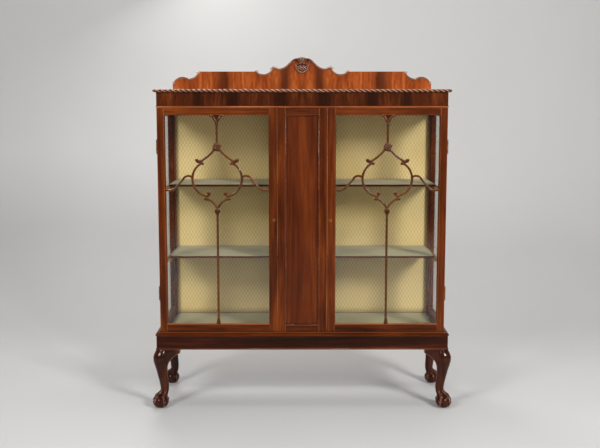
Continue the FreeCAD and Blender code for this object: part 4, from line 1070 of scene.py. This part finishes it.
def rope():
    low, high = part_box("rope_moulding")
    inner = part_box("top_board")[0][0] - low[0]
    radius = (high[2] - low[2]) / 2
    middle = (high[2] + low[2]) / 2
    stations = round_case(low, high, inner)
    bm = bmesh.new()
    wear_and_painted_light = bm.verts.layers.float.new("wear_and_painted_light")
    run = 0
    for first, second in zip(stations, stations[1:]):
        length = (Vector(second[0]) - Vector(first[0])).length
        columns = round(length / ROPE_PITCH * ROPE_STEPS)
        verts = bmesh.ops.create_grid(bm, x_segments=columns, y_segments=ROPE_ROWS, size=0.5)["verts"]
        for vert in verts:
            share = vert.co.x + 0.5
            row = round((vert.co.y + 0.5) * ROPE_ROWS)
            angle = pi * (min(max(row, 1), ROPE_ROWS - 1) - 1) / (ROPE_ROWS - 2) - pi / 2
            phase = (run + share * length + ROPE_LEAN * radius * sin(angle)) / ROPE_PITCH
            lobe = abs(sin(pi * phase)) ** LOBE_POWER
            thick = radius * (ROPE_CORE + (1 - ROPE_CORE) * lobe)
            # Lobe crests are painted paler, more on their upper half: rubbed wear and a painted highlight of
            # light from above. The grooves are painted dark: grime and painted shade.
            worn_and_highlit = ROPE_WEAR_AND_HIGHLIGHT * max(lobe - ROPE_WEAR_AND_HIGHLIGHT_START, 0) * (1 + 0.5 * sin(angle))
            vert[wear_and_painted_light] = worn_and_highlit - ROPE_GRIME_AND_SHADE * max(ROPE_GRIME_AND_SHADE_START - lobe, 0)
            out = 0 if row in (0, ROPE_ROWS) else inner - radius + thick * cos(angle)
            ends = [Vector(base) + Vector(outward) * out for base, outward in (first, second)]
            vert.co = ends[0].lerp(ends[1], share) + Vector((0, 0, middle + thick * sin(angle)))
        run += length
    bmesh.ops.holes_fill(bm, edges=[edge for edge in bm.edges if edge.is_boundary])
    bmesh.ops.recalc_face_normals(bm, faces=bm.faces)
    for face in bm.faces:
        face.smooth = True
    return piece_from(bm, "rope_moulding_carved", "rope_moulding", POLISHED, rope_wood)


print("rope faces:", len(rope().data.polygons))

# %% [markdown]
# The inner edge of each door frame has a small rounded moulding that the glass sits behind. It is one more
# closed run, and its upward faces, most of all the ledge below the pane, carry a painted highlight.

# %% Door edge mouldings
EDGE_WIDE, EDGE_DEEP = 3.5 * MM, 8.5 * MM
EDGE_FLAT = EDGE_DEEP * 0.35
edge_profile = [(0, 0), (EDGE_WIDE, 0)]
edge_profile += arc(0, EDGE_FLAT, EDGE_WIDE, EDGE_DEEP - EDGE_FLAT, 0, 90)
for side in ("left", "right"):
    edge_corners = frame_corners(*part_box(side + "_tracery"))
    edge = moulding(edge_profile, edge_corners, (0, -1, 0), closed=True)
    # Faces that turn up are painted paler the more they face up: a painted highlight of the light from above.
    wear_and_painted_light = edge.loops.layers.float.new("wear_and_painted_light")
    for face in edge.faces:
        for loop in face.loops:
            loop[wear_and_painted_light] = max(face.normal.z, 0)
    piece = mesh_object(edge, side + "_door_edge")
    piece.data.materials.append(case_wood["z"])
    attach(piece, side + "_door")
print("door edge is", EDGE_WIDE / MM, "mm wide")

# %% [markdown]
# The stage is a pale floor that curves up into a wall, and five soft lamps: one high on each side, one above
# for the top edges, a weak one in front that reaches into the shelves and a weak one behind. The doors would
# mirror the one in front, so it is left out of reflections. The wall can be seen through from behind, so the
# back of the cabinet can be looked at. The camera stands a little over four metres away, and looks slightly
# down.

# %% Stage
COVE_START, COVE_RADIUS, ROOM_HALF, WALL_TOP = 1.2, 1.6, 9, 7
COVE_STEPS = 16
FLOOR_COLOURS = (colour(198, 197, 195), colour(204, 203, 201))
SKY_COLOUR, SKY_STRENGTH = colour(206, 206, 208), 0.2
MIDDLE = (0, 0, 0.75)
CAMERA_PLACE = (-0.01507, -4.0833, 1.29554)
CAMERA_TILT, CAMERA_TURN = 0.13028, -0.00148
LENS, SENSOR = 57, 36


def pale_floor(name):
    """A matt finish that can be seen through from behind."""
    material, shader, base = new_finish(name)
    cloud = noise(base, object_place(base), 2, detail=3)
    connect(base, shader, blend(base, cloud, *FLOOR_COLOURS), cloud * 0.1 + 0.6)
    behind = base.node("ShaderNodeNewGeometry", output="Backfacing")
    seen = Shade(base.tree, shader.outputs["BSDF"])
    unseen = base.node("ShaderNodeBsdfTransparent")
    show(base, base.node("ShaderNodeMixShader", sockets={0: behind, 1: seen, 2: unseen}))
    return material


floor_mesh = bmesh.new()
bmesh.ops.create_grid(floor_mesh, x_segments=1, y_segments=1, size=ROOM_HALF)
for vert in floor_mesh.verts:
    vert.co.y = min(vert.co.y, COVE_START)
edges = [edge for edge in floor_mesh.edges if all(vert.co.y > 0 for vert in edge.verts)]
cove = arc(COVE_START, COVE_RADIUS, COVE_RADIUS, COVE_RADIUS, -90, 0, COVE_STEPS)[1:]
for back, rise in cove + [(COVE_START + COVE_RADIUS, WALL_TOP)]:
    edges, verts = extruded(floor_mesh, edges)
    for vert in verts:
        vert.co.y, vert.co.z = back, rise
bmesh.ops.recalc_face_normals(floor_mesh, faces=floor_mesh.faces)
floor_mesh.faces.ensure_lookup_table()
if floor_mesh.faces[0].normal.z < 0:
    bmesh.ops.reverse_faces(floor_mesh, faces=floor_mesh.faces)
for face in floor_mesh.faces:
    face.smooth = True
floor = mesh_object(floor_mesh, "floor")
floor.data.materials.append(pale_floor("pale_floor"))

world = bpy.data.worlds.new("studio")
bpy.context.scene.world = world
world.use_nodes = True
sky = world.node_tree.nodes["Background"]
sky.inputs["Color"].default_value = SKY_COLOUR
sky.inputs["Strength"].default_value = SKY_STRENGTH


def lamp(name, place, size, power, mirrored=True):
    """A square lamp of a size in metres and a power in watts, aimed at the middle of the cabinet."""
    light = bpy.data.lights.new(name, "AREA")
    light.size = size
    light.energy = power
    holder = bpy.data.objects.new(name, light)
    bpy.context.scene.collection.objects.link(holder)
    holder.visible_glossy = mirrored
    holder.location = place
    holder.rotation_euler = (Vector(MIDDLE) - Vector(place)).to_track_quat("-Z", "Y").to_euler()


lamp("left lamp", (-2.5, -3.4, 2.9), 1.0, 90)
lamp("right lamp", (2.6, -3.6, 2.7), 1.0, 172)
lamp("front lamp", (0, -5.4, 1.9), 2.2, 56, mirrored=False)
lamp("top lamp", (0.3, 0.0, 3.9), 1.8, 40)
lamp("back lamp", (-0.9, 2.3, 2.7), 1.0, 30)

camera_data = bpy.data.cameras.new("camera")
camera = bpy.data.objects.new("camera", camera_data)
bpy.context.scene.collection.objects.link(camera)
camera.location = CAMERA_PLACE
camera.rotation_euler = (pi / 2 - CAMERA_TILT, 0, CAMERA_TURN)
camera_data.lens = LENS
camera_data.sensor_width = SENSOR
bpy.context.scene.camera = camera
bpy.context.scene.view_settings.view_transform = "Standard"
print("camera at", tuple(round(part, 3) for part in camera.location))
